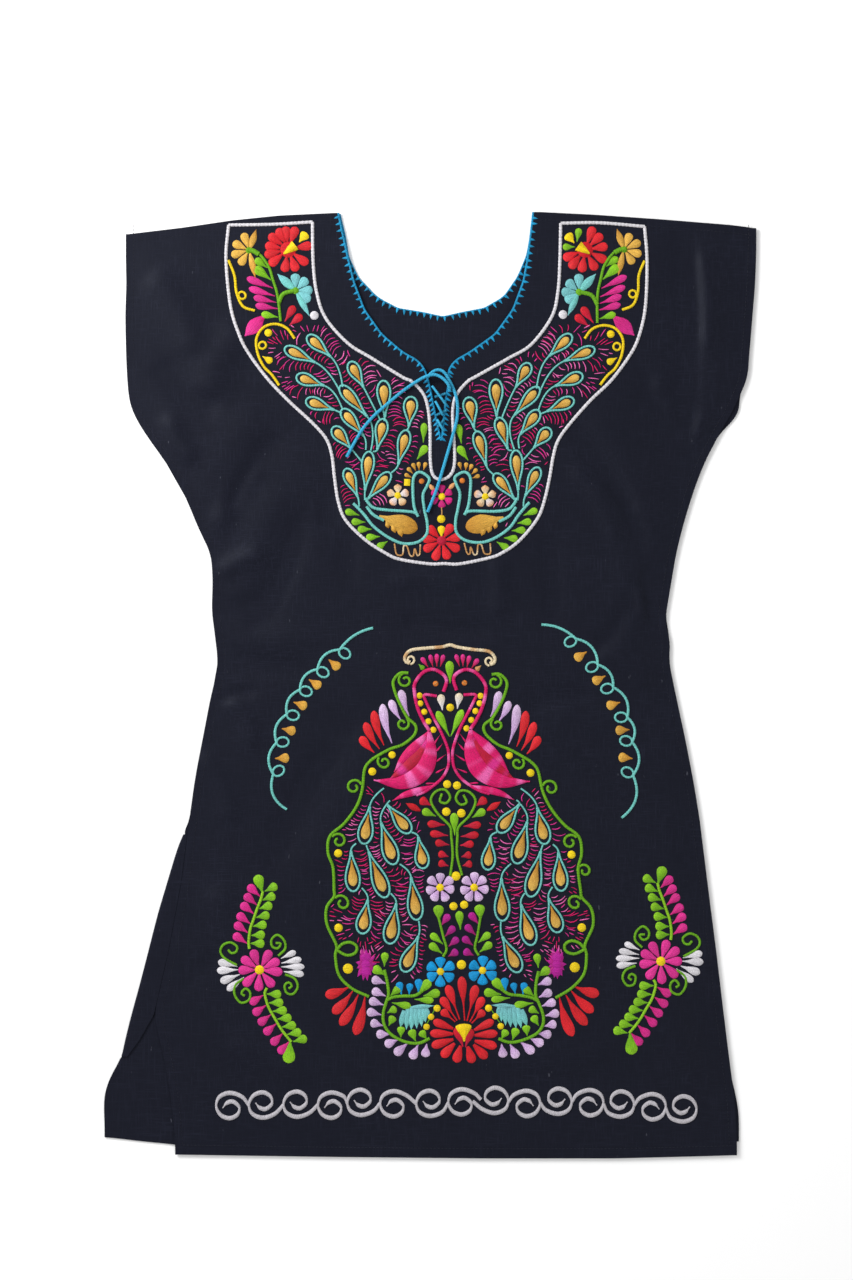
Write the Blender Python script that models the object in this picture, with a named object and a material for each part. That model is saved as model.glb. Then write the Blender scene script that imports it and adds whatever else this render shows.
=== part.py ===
"""Huipil blouse of dark cotton, laid flat on a surface.

A front and a back panel, each cut in one with its half of the wide sleeves, open at the neck,
the cuffs, the side vents and the hem. The back's left side wraps round onto the front. A lace
is crossed through the slit below the neck, and its two free ends lie on the chest.

Frame: +X to the right of the front, +Y towards the neck, +Z up. The origin is on the surface
that the garment lies on, in the middle of its length and width. The tables are in millimetres.
"""
from collections import namedtuple
import math

import bpy
import numpy as np

MM = 0.001

# Driving sizes, in metres
CLOTH = 0.0012              # thickness of the cotton, with its hems pressed flat
SEAM_GAP = 0.0003           # between pieces that are sewn or lie together
BILLOW = 0.0016             # how far the front stands off the back between its edges
EDGE_FADE = 0.045           # the front comes down to the back over this width at its edges
LACE = 0.0034               # diameter of the lace's free ends
LACE_PULLED = 0.0024        # diameter of the lace where it is pulled through the slit
LACE_CLEAR = 0.0005         # under the lace, for the sewing on the cloth that it lies on

# Fineness of the panels and of the lace
FRONT_COLUMNS = 18          # to each side of the centre line
BACK_COLUMNS = 9
FRONT_STEP = 21 * MM        # greatest distance between two rows of points
BACK_STEP = 33 * MM
FOLD_POINTS = 5             # round the fold at the back's left side
FLAP_COLUMNS = 2
LACE_POINT_STEP = 2.2       # diameters from one point of a lace tube to the next
LACE_BEVEL = 2
ROUTE_SAMPLES = 16          # between two points of a route, before it is spaced evenly
SHARP_ANGLE = math.radians(50)

# Fold at the back's left side
FOLD_RADIUS = (CLOTH + SEAM_GAP) / 2        # to the middle of the cloth
FOLD_REACH = FOLD_RADIUS + CLOTH / 2        # to the outside of the cloth

# The shoulder line is level with the neck and the last row of points lies on the hem.
# Over these lengths the rows change from that line to straight ones across.
SHOULDER_FADE = 0.120
HEM_FADE = 0.110
BACK_INSET = 0.0006         # the back's shoulder line stays this far below the front's

Section = namedtuple("Section", "y left neck_left neck_right right")
Line = namedtuple("Line", "x y")
Flap = namedtuple("Flap", "y edge")
Fold = namedtuple("Fold", "x0 y0 x1 y1 width height")
Stop = namedtuple("Stop", "x y lift")
Crossing = namedtuple("Crossing", "name x0 y0 x1 y1 bow")

# Front panel, from the shoulders to the hem. The neck columns run down both sides of the neck
# and the slit, and from the tip of the slit on they are one centre line.
FRONT_SECTIONS = [
    Section(435, -279.5, -84.3, 95.0, 300.0),
    Section(393, -279.0, -75.4, 90.0, 299.0),
    Section(371, -279.5, -70.0, 86.0, 298.0),
    Section(345, -280.0, -60.5, 76.5, 296.5),
    Section(322, -279.7, -44.5, 60.0, 295.0),
    Section(305, -279.3, -24.5, 36.0, 293.5),
    Section(298, -279.0, -11.0, 23.0, 293.0),
    Section(290, -278.7, -5.0, 17.5, 292.5),
    Section(283, -278.4, -2.7, 16.6, 292.0),
    Section(274, -277.6, -0.3, 17.0, 288.5),
    Section(264, -276.8, 1.7, 14.6, 283.6),
    Section(254, -274.5, 3.7, 13.8, 279.3),
    Section(241, -268.0, 6.4, 12.4, 272.0),
    Section(232, -262.3, 8.4, 11.7, 266.3),
    Section(223, -256.0, 10.4, 10.4, 262.0),
    Section(210, -246.6, 10.6, 10.6, 254.8),
    Section(188, -231.8, 11.0, 11.0, 245.6),
    Section(166, -221.7, 11.4, 11.4, 238.3),
    Section(143, -212.3, 11.8, 11.8, 231.6),
    Section(121, -201.4, 12.2, 12.2, 226.2),
    Section(99, -199.6, 12.6, 12.6, 222.5),
    Section(66, -200.6, 13.2, 13.2, 217.0),
    Section(55, -198.7, 13.4, 13.4, 216.0),
    Section(40, -197.0, 13.7, 13.7, 221.3),
    Section(25, -195.0, 14.0, 14.0, 219.4),
    Section(11, -196.0, 14.3, 14.3, 221.7),
    Section(-11, -201.5, 14.7, 14.7, 226.3),
    Section(-50, -209.0, 15.5, 15.5, 234.7),
    Section(-88, -216.2, 16.2, 16.2, 242.0),
    Section(-121, -220.8, 17.0, 17.0, 247.5),
    Section(-180, -228.2, 18.5, 18.5, 254.8),
    Section(-244, -240.0, 20.0, 20.0, 263.0),
    Section(-303, -253.5, 21.5, 21.5, 270.0),
    Section(-347, -243.8, 22.8, 22.8, 275.4),
    Section(-384, -237.8, 23.8, 23.8, 280.0),
    Section(-421, -234.6, 24.6, 24.6, 282.0),
    Section(-435, -232.8, 25.0, 25.0, 282.4),
]

# Back panel. Its neck is shallow and has no slit, its hem ends above the front's, and between
# the two wrap levels below its left side is a fold, from which the flap runs back to the seam.
BACK_SECTIONS = [
    Section(435, -278.9, -82.8, 95.0, 299.4),
    Section(415, -278.9, -78.0, 92.6, 299.2),
    Section(396, -278.4, -75.0, 89.2, 298.4),
    Section(376, -278.9, -66.2, 81.0, 297.4),
    Section(357, -279.2, -48.8, 68.0, 296.2),
    Section(346, -279.2, -28.5, 49.0, 295.8),
    Section(342, -279.2, -1.8, 25.8, 295.6),
    Section(339, -279.1, 12.0, 12.0, 295.4),
    Section(300, -278.4, 12.0, 12.0, 292.4),
    Section(266, -276.4, 12.0, 12.0, 285.0),
    Section(247, -271.2, 12.0, 12.0, 283.6),
    Section(233, -262.4, 12.0, 12.0, 267.2),
    Section(210, -246.0, 12.0, 12.0, 254.2),
    Section(166, -221.1, 12.0, 12.0, 237.7),
    Section(121, -200.8, 12.0, 12.0, 225.6),
    Section(99, -199.0, 12.2, 12.2, 221.9),
    Section(66, -200.0, 12.6, 12.6, 216.4),
    Section(40, -196.4, 13.0, 13.0, 220.7),
    Section(25, -194.4, 13.3, 13.3, 218.8),
    Section(-11, -200.9, 14.0, 14.0, 225.7),
    Section(-50, -208.4, 14.6, 14.6, 234.1),
    Section(-88, -215.6, 15.2, 15.2, 241.4),
    Section(-121, -220.6, 15.8, 15.8, 246.9),
    Section(-136, -226.8, 15.8, 15.8, 248.6),
    Section(-154, -233.5, 15.8, 15.8, 250.8),
    Section(-180, -241.2, 15.8, 15.8, 254.2),
    Section(-210, -250.2, 15.8, 15.8, 258.0),
    Section(-244, -258.8, 15.8, 15.8, 262.4),
    Section(-275, -266.8, 15.8, 15.8, 266.2),
    Section(-303, -274.5, 15.8, 15.8, 269.4),
    Section(-327, -280.5, 15.8, 15.8, 272.2),
    Section(-343, -283.8, 15.8, 15.8, 274.4),
    Section(-364, -292.6, 15.8, 15.8, 277.0),
    Section(-386, -299.0, 15.8, 15.8, 281.6),
    Section(-404, -300.0, 15.8, 15.8, 284.0),
    Section(-424, -299.0, 15.8, 15.8, 284.2),
]
WRAP_TOP = -136 * MM
WRAP_END = -343 * MM

# Free edge of the flap that the back's left side makes on the front: it meets the front along
# the side seam, and below the seam it runs out towards the fold over the open vent.
BACK_FLAP = [
    Flap(-136, -223.0),
    Flap(-180, -228.5),
    Flap(-244, -240.3),
    Flap(-303, -253.8),
    Flap(-316, -260.5),
    Flap(-327, -267.6),
    Flap(-343, -279.5),
]

# Lines that the first and the last row of points follow
SHOULDER_LINE = [
    Line(-280, 414.0), Line(-226, 420.5), Line(-182, 427.0), Line(-138, 431.5),
    Line(-84, 434.0), Line(95, 435.0), Line(150, 432.3), Line(215, 427.8),
    Line(282, 422.3), Line(300, 419.5),
]
FRONT_HEM = [
    Line(-233, -431.5), Line(-100, -433.5), Line(50, -435.0), Line(170, -435.0),
    Line(250, -433.0), Line(283, -432.0),
]
BACK_HEM = [
    Line(-300, -415.5), Line(-235, -423.0), Line(0, -425.5), Line(200, -424.0),
    Line(285, -419.5),
]

# Soft folds of the front, as ridges (height above 0) and troughs (below 0)
FRONT_FOLDS = [
    Fold(236, 410, 241, 205, 15, -2.4),
    Fold(262, 380, 258, 270, 20, 1.6),
    Fold(202, 270, 234, 182, 13, -2.0),
    Fold(137, 230, 194, 131, 16, -1.8),
    Fold(160, 235, 215, 130, 18, 2.4),
    Fold(203, 101, 204, 68, 12, -2.6),
    Fold(185, 105, 182, 55, 16, 2.2),
    Fold(112, 128, 113, 62, 14, -1.5),
    Fold(-143, 223, -184, 161, 16, -1.8),
    Fold(-168, 235, -205, 175, 18, 2.2),
    Fold(-92, 177, -74, 104, 14, -1.6),
    Fold(-121, 149, -159, 58, 16, -1.8),
    Fold(-140, 165, -178, 80, 17, 2.0),
    Fold(-196, 68, -149, 71, 13, -1.5),
    Fold(-172, 22, -118, 16, 13, -1.8),
    Fold(-178, 40, -120, 38, 14, 1.8),
    Fold(-118, -20, -70, -40, 15, -1.7),
    Fold(-90, -68, -138, -154, 18, -2.0),
    Fold(-60, -70, -108, -165, 20, 1.8),
    Fold(-230, -281, -192, -248, 12, -1.5),
    Fold(95, -19, 141, -9, 13, -1.6),
    Fold(106, -58, 176, -111, 16, -1.9),
    Fold(120, -38, 192, -88, 16, 2.0),
    Fold(148, -192, 183, -210, 15, -1.5),
    Fold(224, -85, 232, -165, 14, 1.8),
    Fold(-40, -330, 30, -360, 26, 1.2),
]

# Routes of the lace's free ends, from where each leaves the slit. The lift is in millimetres
# above the cloth: each end lies on the cloth, and the left one passes over the right one.
LACE_LEFT_ROUTE = [
    Stop(18.0, 268.9, 0.0),
    Stop(17.8, 272.4, 2.8),
    Stop(16.4, 275.9, 4.0),
    Stop(12.9, 280.1, 3.8),
    Stop(8.3, 283.2, 3.6),
    Stop(3.7, 284.5, 3.8),
    Stop(-0.9, 283.7, 4.1),
    Stop(-7.4, 281.2, 2.8),
    Stop(-17.5, 275.1, 0.2),
    Stop(-27.6, 267.7, 0.0),
    Stop(-39.6, 257.6, 0.0),
    Stop(-51.5, 247.0, 0.0),
    Stop(-60.7, 236.4, 0.0),
    Stop(-68.5, 224.0, 0.0),
    Stop(-76.4, 209.3, 0.0),
]
LACE_RIGHT_ROUTE = [
    Stop(-2.8, 282.0, 0.0),
    Stop(0.0, 285.2, 0.0),
    Stop(4.1, 288.3, 0.0),
    Stop(9.2, 289.1, 0.0),
    Stop(13.8, 286.1, 0.0),
    Stop(17.4, 280.1, 0.0),
    Stop(20.8, 273.4, 0.0),
    Stop(23.6, 266.2, 0.0),
    Stop(25.1, 258.5, 0.0),
    Stop(25.3, 250.7, 0.0),
    Stop(24.4, 242.4, 0.0),
    Stop(21.4, 230.9, 0.0),
    Stop(17.5, 217.6, 0.0),
    Stop(12.4, 200.1, 0.0),
    Stop(6.0, 179.4, 0.0),
    Stop(-2.2, 158.7, 0.0),
]

# Crossings of the lace inside the slit, three over three. The bow is the rise of the middle.
CROSSINGS = [
    Crossing("lacing_under_1", 14.4, 267.6, 4.2, 264.4, -0.4),
    Crossing("lacing_under_2", 15.2, 252.2, 5.6, 247.6, -0.4),
    Crossing("lacing_under_3", 12.8, 243.4, 7.0, 236.6, -0.4),
    Crossing("lacing_over_1", 1.8, 274.6, 15.5, 256.0, 3.1),
    Crossing("lacing_over_2", 4.8, 260.6, 11.9, 247.4, 3.1),
    Crossing("lacing_over_3", 6.4, 243.9, 12.9, 232.6, 3.1),
]
CROSSING_POINTS = 9
CROSSING_ROUNDNESS = 0.6    # below 1 the bow is flat in the middle and steep at the ends

# Colours, linear RGB
NAVY_COTTON = (0.0110, 0.0122, 0.0200, 1.0)
SKY_LACE = (0.0800, 0.5500, 0.8200, 1.0)


def clear_scene():
    for thing in list(bpy.data.objects):
        bpy.data.objects.remove(thing, do_unlink=True)


def make_material(name, colour, roughness):
    material = bpy.data.materials.new(name)
    material.use_nodes = True
    shader = material.node_tree.nodes["Principled BSDF"]
    shader.inputs["Base Color"].default_value = colour
    shader.inputs["Roughness"].default_value = roughness
    shader.inputs["Metallic"].default_value = 0.0
    material.diffuse_color = colour
    return material


def smooth(t):
    """Ease from 0 to 1 as t goes from 0 to 1."""
    t = min(max(t, 0.0), 1.0)
    return t * t * (3.0 - 2.0 * t)


def line_at(line, x):
    return MM * float(np.interp(x / MM, [p.x for p in line], [p.y for p in line]))


def section_at(sections, y):
    """Section of a panel at a level between two rows of its table, in metres."""
    down, *edges = zip(*sections)
    return Section(y, *(MM * float(np.interp(-y / MM, np.negative(down), edge)) for edge in edges))


def panel_rows(sections, step):
    """Every section of the table, with rows between those that are more than a step apart."""
    rows = []
    for upper, lower in zip(sections, sections[1:]):
        drop = (upper.y - lower.y) * MM
        parts = max(1, math.ceil(drop / step))
        rows += [section_at(sections, upper.y * MM - drop * k / parts) for k in range(parts)]
    rows.append(section_at(sections, sections[-1].y * MM))
    return rows


def settle(x, level, sections, shoulder, hem, inset):
    """Move a level at x so that the first row lies on the shoulders and the last on the hem."""
    top, bottom = sections[0].y * MM, sections[-1].y * MM
    at_top = smooth(1.0 - (top - level) / SHOULDER_FADE)
    at_hem = smooth(1.0 - (level - bottom) / HEM_FADE)
    return level + at_top * (line_at(shoulder, x) - inset - top) + at_hem * (line_at(hem, x) - bottom)


def fold_height(fold, x, y):
    """Height of one soft fold at a point: full along its line, fading out across and past it."""
    run_x, run_y = fold.x1 - fold.x0, fold.y1 - fold.y0
    from_x, from_y = x / MM - fold.x0, y / MM - fold.y0
    along = (from_x * run_x + from_y * run_y) / (run_x ** 2 + run_y ** 2)
    along = min(max(along, 0.0), 1.0)
    away = math.hypot(from_x - along * run_x, from_y - along * run_y)
    return fold.height * MM * math.exp(-(away / fold.width) ** 2)


def front_rise(x, y):
    """How far the front stands off the back at a point."""
    section = section_at(FRONT_SECTIONS, y)
    inside = min(x - section.left, section.right - x,
                 line_at(SHOULDER_LINE, x) - y, y - line_at(FRONT_HEM, x))
    rise = BILLOW + sum(fold_height(fold, x, y) for fold in FRONT_FOLDS)
    return max(rise, 0.0) * smooth(inside / EDGE_FADE)


def front_top(x, y):
    return CLOTH + SEAM_GAP + CLOTH + front_rise(x, y)


def half_columns(row, columns):
    """Plan positions across both halves of a row, as (half, column, x)."""
    for half, (start, end) in enumerate(((row.left, row.neck_left), (row.neck_right, row.right))):
        for column in range(columns + 1):
            yield half, column, start + (end - start) * column / columns


def grid_points(rows, columns):
    """Number the points of a panel. Below the neck both halves share the centre line."""
    index, plan = {}, []
    for r, row in enumerate(rows):
        joined = row.neck_right - row.neck_left < SEAM_GAP
        for half, column, x in half_columns(row, columns):
            if joined and (half, column) == (1, 0):
                index[r, 1, 0] = index[r, 0, columns]
                continue
            index[r, half, column] = len(plan)
            plan.append((x, row.y))
    return index, plan


def grid_faces(index, row_count, columns, face_up):
    """Quads between neighbouring rows and columns, facing up or down."""
    faces = []
    for r in range(row_count - 1):
        for half in range(2):
            for c in range(columns):
                quad = [index[r, half, c], index[r + 1, half, c],
                        index[r + 1, half, c + 1], index[r, half, c + 1]]
                faces.append(quad if face_up else quad[::-1])
    return faces


def wall(name, outer, inner, faces, material):
    """Close a sheet of cloth: its outer and inner side and a rim along its free edges."""
    count = len(outer)
    edges = {(face[k - 1], face[k]) for face in faces for k in range(len(face))}
    rim = [(b, a, a + count, b + count) for a, b in edges if (b, a) not in edges]
    inside = [[corner + count for corner in reversed(face)] for face in faces]
    mesh = bpy.data.meshes.new(name)
    mesh.from_pydata(outer + inner, [], faces + inside + sorted(rim))
    mesh.materials.append(material)
    mesh.shade_smooth()
    mesh.set_sharp_from_angle(angle=SHARP_ANGLE)
    piece = bpy.data.objects.new(name, mesh)
    bpy.context.scene.collection.objects.link(piece)
    return piece


def make_front(material):
    rows = panel_rows(FRONT_SECTIONS, FRONT_STEP)
    index, plan = grid_points(rows, FRONT_COLUMNS)
    faces = grid_faces(index, len(rows), FRONT_COLUMNS, face_up=True)
    outer, inner = [], []
    for x, level in plan:
        y = settle(x, level, FRONT_SECTIONS, SHOULDER_LINE, FRONT_HEM, 0.0)
        top = front_top(x, y)
        outer.append((x, y, top))
        inner.append((x, y, top - CLOTH))
    return wall("front", outer, inner, faces, material)


def flap_edge(y):
    return MM * float(np.interp(-y / MM, [-flap.y for flap in BACK_FLAP], [flap.edge for flap in BACK_FLAP]))


def fold_columns(row):
    """Cross-section of the flap and the fold at the back's left side, from the flap's edge down
    to the lower layer, as (x, z, outward x, outward z) on the middle of the cloth."""
    centre_x, centre_z = row.left + FOLD_REACH, CLOTH / 2 + FOLD_RADIUS
    edge = flap_edge(row.y)
    columns = []
    for k in range(FLAP_COLUMNS):
        x = edge + (centre_x - edge) * k / FLAP_COLUMNS
        columns.append((x, centre_z + FOLD_RADIUS, 0.0, 1.0))
    for k in range(FOLD_POINTS):
        turn = math.pi * (0.5 + k / (FOLD_POINTS - 1))
        out_x, out_z = math.cos(turn), math.sin(turn)
        columns.append((centre_x + FOLD_RADIUS * out_x, centre_z + FOLD_RADIUS * out_z, out_x, out_z))
    return columns


def make_back(material):
    rows = panel_rows(BACK_SECTIONS, BACK_STEP)
    wrapped = [r for r, row in enumerate(rows) if WRAP_END - SEAM_GAP < row.y < WRAP_TOP + SEAM_GAP]
    lower = [row._replace(left=row.left + FOLD_REACH) if r in wrapped else row
             for r, row in enumerate(rows)]
    index, plan = grid_points(lower, BACK_COLUMNS)
    faces = grid_faces(index, len(rows), BACK_COLUMNS, face_up=False)
    outer, inner = [], []
    for x, level in plan:
        y = settle(x, level, BACK_SECTIONS, SHOULDER_LINE, BACK_HEM, BACK_INSET)
        outer.append((x, y, 0.0))
        inner.append((x, y, CLOTH))
    fold_end = FLAP_COLUMNS + FOLD_POINTS - 1
    fold = {}
    for r in wrapped:
        for c, (x, z, out_x, out_z) in enumerate(fold_columns(rows[r])[:fold_end]):
            fold[r, c] = len(outer)
            outer.append((x + CLOTH / 2 * out_x, rows[r].y, z + CLOTH / 2 * out_z))
            inner.append((x - CLOTH / 2 * out_x, rows[r].y, z - CLOTH / 2 * out_z))
        fold[r, fold_end] = index[r, 0, 0]
    for r in wrapped[:-1]:
        for c in range(fold_end):
            faces.append([fold[r, c], fold[r, c + 1], fold[r + 1, c + 1], fold[r + 1, c]])
    return wall("back", outer, inner, faces, material)


def smooth_route(points, step):
    """Points every step along a smooth curve through the given ones."""
    points = [np.array(point) for point in points]
    padded = [2 * points[0] - points[1]] + points + [2 * points[-1] - points[-2]]
    fine = []
    for a, b, c, d in zip(padded, padded[1:], padded[2:], padded[3:]):
        for t in np.linspace(0.0, 1.0, ROUTE_SAMPLES, endpoint=False):
            fine.append(0.5 * (2 * b + (c - a) * t + (2 * a - 5 * b + 4 * c - d) * t ** 2
                               + (3 * b - a - 3 * c + d) * t ** 3))
    fine.append(points[-1])
    walked = np.concatenate([[0.0], np.cumsum([np.linalg.norm(q - p) for p, q in zip(fine, fine[1:])])])
    stations = np.linspace(0.0, walked[-1], max(3, round(walked[-1] / step) + 1))
    return [tuple(np.interp(s, walked, [p[k] for p in fine]) for k in range(3)) for s in stations]


def make_lace(name, points, diameter, material):
    """Round lace along the points, as a curve with a bevel and filled ends."""
    curve = bpy.data.curves.new(name, "CURVE")
    curve.dimensions = "3D"
    curve.bevel_depth = diameter / 2
    curve.bevel_resolution = LACE_BEVEL
    curve.use_fill_caps = True
    spline = curve.splines.new("POLY")
    spline.points.add(len(points) - 1)
    for slot, point in zip(spline.points, points):
        slot.co = (*point, 1.0)
    curve.materials.append(material)
    piece = bpy.data.objects.new(name, curve)
    bpy.context.scene.collection.objects.link(piece)
    return piece


def lace_height(x, y, diameter, lift):
    return front_top(x, y) + LACE_CLEAR + diameter / 2 + lift


def make_free_lace(name, route, material):
    points = [(stop.x * MM, stop.y * MM, lace_height(stop.x * MM, stop.y * MM, LACE, stop.lift * MM))
              for stop in route]
    return make_lace(name, smooth_route(points, LACE * LACE_POINT_STEP), LACE, material)


def make_crossing(crossing, material):
    points = []
    for k in range(CROSSING_POINTS):
        t = k / (CROSSING_POINTS - 1)
        x = MM * (crossing.x0 + (crossing.x1 - crossing.x0) * t)
        y = MM * (crossing.y0 + (crossing.y1 - crossing.y0) * t)
        lift = crossing.bow * MM * math.sin(math.pi * t) ** CROSSING_ROUNDNESS
        points.append((x, y, lace_height(x, y, LACE_PULLED, lift)))
    return make_lace(crossing.name, points, LACE_PULLED, material)


def main():
    clear_scene()
    cotton = make_material("navy_cotton", NAVY_COTTON, 0.9)
    lace = make_material("sky_lace", SKY_LACE, 0.7)
    make_front(cotton)
    make_back(cotton)
    make_free_lace("lace_left", LACE_LEFT_ROUTE, lace)
    make_free_lace("lace_right", LACE_RIGHT_ROUTE, lace)
    for crossing in CROSSINGS:
        make_crossing(crossing, lace)


main()
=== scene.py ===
"""Dresses the solids of a huipil blouse: dark plain-weave cotton laid flat, embroidered by hand.

The frame's solids give the outlines and the large folds. Lengths in the tables below are in
millimetres from the frame's origin, +X to the right of the front and +Y towards the neck, and
mirrored designs are given once, as distances across from the front's centre line.
"""

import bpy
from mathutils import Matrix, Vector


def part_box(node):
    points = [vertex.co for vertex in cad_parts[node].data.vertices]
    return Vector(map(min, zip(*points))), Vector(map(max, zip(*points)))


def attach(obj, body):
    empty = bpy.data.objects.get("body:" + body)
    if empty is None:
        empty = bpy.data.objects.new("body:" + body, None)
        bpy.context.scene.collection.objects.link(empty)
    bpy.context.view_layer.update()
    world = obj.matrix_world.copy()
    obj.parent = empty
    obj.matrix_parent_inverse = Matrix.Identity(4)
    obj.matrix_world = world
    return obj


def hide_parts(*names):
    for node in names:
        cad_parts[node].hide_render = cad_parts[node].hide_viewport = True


bl_info = {
    "name": "Huipil Blouse",
    "version": (1, 0, 0),
    "blender": (4, 5, 0),
    "location": "View3D > Sidebar > Huipil",
    "description": "Cloth, embroidery, edging and lace for a huipil blouse laid flat",
    "category": "Object",
}

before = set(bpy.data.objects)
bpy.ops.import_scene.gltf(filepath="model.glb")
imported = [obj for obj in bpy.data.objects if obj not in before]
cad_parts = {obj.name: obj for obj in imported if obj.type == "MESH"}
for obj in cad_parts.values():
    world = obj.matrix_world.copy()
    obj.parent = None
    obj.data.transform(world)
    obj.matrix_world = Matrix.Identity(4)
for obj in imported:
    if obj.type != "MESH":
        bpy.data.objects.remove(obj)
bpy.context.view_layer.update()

from collections import namedtuple
import math

import bpy
from bpy.props import FloatProperty, FloatVectorProperty, PointerProperty
from mathutils import Vector
from mathutils.bvhtree import BVHTree
import numpy as np

MM = 0.001


def table_of(kind, *values):
    """A table whose columns are the named fields of its kind of row."""
    return [kind(*row) for row in values]


# Cloth, in metres
SEAM_GAP = 0.0003
CLOTH = (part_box("back")[1].z - SEAM_GAP) / 2      # the wrapped side has two layers and a gap


# Sizes and colours that a user would change

def length(name, description, default, low=0.0, high=1.0):
    return FloatProperty(name=name, description=description, default=default, min=low, max=high,
                         subtype="DISTANCE", unit="LENGTH", precision=4)


def colour(name, description, default):
    return FloatVectorProperty(name=name, description=description, default=default, size=3,
                               min=0.0, max=1.0, subtype="COLOR")


def dye(name, description, red, green, blue):
    """A thread's colour, given as it shows on a screen, from 0 to 255."""
    shown = [part / 255 for part in (red, green, blue)]
    linear = [part / 12.92 if part < 0.04045 else ((part + 0.055) / 1.055) ** 2.4 for part in shown]
    return colour(name, description, tuple(linear))


class ClothSizes(bpy.types.PropertyGroup):
    """Cotton of the front and back panels."""
    grid: length("Grid", "Spacing of the points of the front panel", 0.0040, 0.002, 0.02)
    back_grid: length("Back grid", "Spacing of the points of the back panel", 0.0080, 0.004, 0.02)
    crease_strength: FloatProperty(name="Crease strength", description="Depth of the small creases",
                                   default=3.2, min=0.0, max=4.0, subtype="FACTOR")
    yarn: length("Yarn", "Distance between two yarns of the weave", 0.00085, 0.0003, 0.003)
    dark: colour("Cotton", "Main colour of the cotton", (0.0042, 0.0046, 0.0100))
    worn: colour("Worn cotton", "Colour of the lighter yarns", (0.0108, 0.0118, 0.0225))
    lint: colour("Lint", "Colour of short pale fibres", (0.042, 0.044, 0.058))


class ThreadColours(bpy.types.PropertyGroup):
    """Dyes of the embroidery threads and of the lace."""
    red: dye("Red", "Petals of the large flowers", 198, 18, 32)
    scarlet: dye("Scarlet", "Tips of red petals", 218, 36, 44)
    crimson: dye("Crimson", "Shade of red and magenta", 178, 14, 52)
    magenta: dye("Magenta", "Leaves and flowers", 200, 26, 118)
    rose: dye("Rose", "Flowers of the sprigs and short stitches", 214, 46, 140)
    hot_pink: dye("Hot pink", "Birds of the skirt and short stitches", 208, 12, 98)
    pink: dye("Pink", "Light stretches of thread and light short stitches", 232, 104, 176)
    plum: dye("Plum", "Dark stretches of magenta", 156, 18, 98)
    purple: dye("Purple", "Tufts beside the skirt design", 178, 22, 146)
    lilac: dye("Lilac", "Pale flowers and drops", 190, 150, 204)
    orchid: dye("Orchid", "Light ends of lilac drops", 216, 190, 222)
    green: dye("Green", "Vines and leaves", 102, 166, 16)
    lime: dye("Lime", "Tips of leaves", 138, 196, 30)
    gold: dye("Gold", "Light of wings and drops", 216, 168, 70)
    honey: dye("Honey", "Shade of gold", 184, 126, 36)
    straw: dye("Straw", "Eyes of feathers", 224, 182, 88)
    yellow: dye("Yellow", "Hearts of flowers and dots", 236, 204, 14)
    orange: dye("Orange", "Birds' eyes", 214, 120, 40)
    apricot: dye("Apricot", "Tips of cream petals", 216, 154, 98)
    tan: dye("Tan", "Birds' legs", 190, 140, 84)
    cream: dye("Cream", "Beaks and the bracket", 226, 208, 172)
    white: dye("White", "Yoke outline and pale drops", 216, 213, 218)
    silver: dye("Silver", "Scroll above the hem", 188, 184, 190)
    turquoise: dye("Turquoise", "Outlines of birds and feathers", 110, 194, 186)
    pale_blue: dye("Pale blue", "Pale flowers", 116, 188, 192)
    blue: dye("Blue", "Blue flowers and drops", 0, 144, 206)
    sky: dye("Sky blue", "Neck edging", 20, 146, 194)
    lace: dye("Lace", "Lace through the slit", 54, 172, 214)
    seam: dye("Sewing thread", "Stitches of the seams and hems", 38, 40, 50)


class StageSizes(bpy.types.PropertyGroup):
    """Camera, lights and floor."""
    camera_height: length("Camera height", "From the floor to the lens", 2.29, 0.5, 10.0)
    view_centre: FloatVectorProperty(name="View centre", description="Point under the camera",
                                     default=(-0.0032, 0.0414), size=2, subtype="XYZ")
    view_length: length("View length", "Length of the floor that the picture's height shows",
                        1.1776, 0.2, 5.0)
    floor: colour("Floor", "Colour of the floor", (0.96, 0.96, 0.96))


# Reading the form of a CAD node

def node_triangles(name):
    """Corners of every triangle of a CAD node, as an array of (triangle, corner, xyz)."""
    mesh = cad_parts[name].data
    mesh.calc_loop_triangles()
    points = np.empty(len(mesh.vertices) * 3, np.float32)
    mesh.vertices.foreach_get("co", points)
    corners = np.empty(len(mesh.loop_triangles) * 3, np.int32)
    mesh.loop_triangles.foreach_get("vertices", corners)
    return points.reshape(-1, 3)[corners.reshape(-1, 3)].astype(float)


OFF_CORNERS = 1.7e-5     # a cut is moved this far, so that no corner of the solid lies on it


def spans(triangles, axis, level):
    """Stretches that a solid covers on a line across the plan where x (axis 0) or y (axis 1)
    is level, as a sorted list of (low, high) along the other axis."""
    height = triangles[:, :, axis] - level - OFF_CORNERS
    cut = (height.min(1) < 0) & (height.max(1) > 0)
    height, along = height[cut], triangles[cut][:, :, 1 - axis]
    ends = []
    for a, b in ((0, 1), (1, 2), (2, 0)):
        crossing = height[:, a] * height[:, b] < 0
        share = height[:, a] / np.where(crossing, height[:, a] - height[:, b], 1.0)
        ends.append(np.where(crossing, along[:, a] + (along[:, b] - along[:, a]) * share, np.nan))
    merged = []
    for low, high in sorted(zip(np.nanmin(ends, 0), np.nanmax(ends, 0))):
        if merged and low <= merged[-1][1] + SEAM_GAP:
            merged[-1][1] = max(merged[-1][1], high)
        else:
            merged.append([low, high])
    return merged


def soften(values, reach):
    """Average each value with its neighbours, up to reach on each side and less near the ends."""
    result = np.array(values, float)
    for k in range(1, len(values) - 1):
        near = min(reach, k, len(values) - 1 - k)
        result[k] = np.mean(values[k - near:k + near + 1])
    return result


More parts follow.
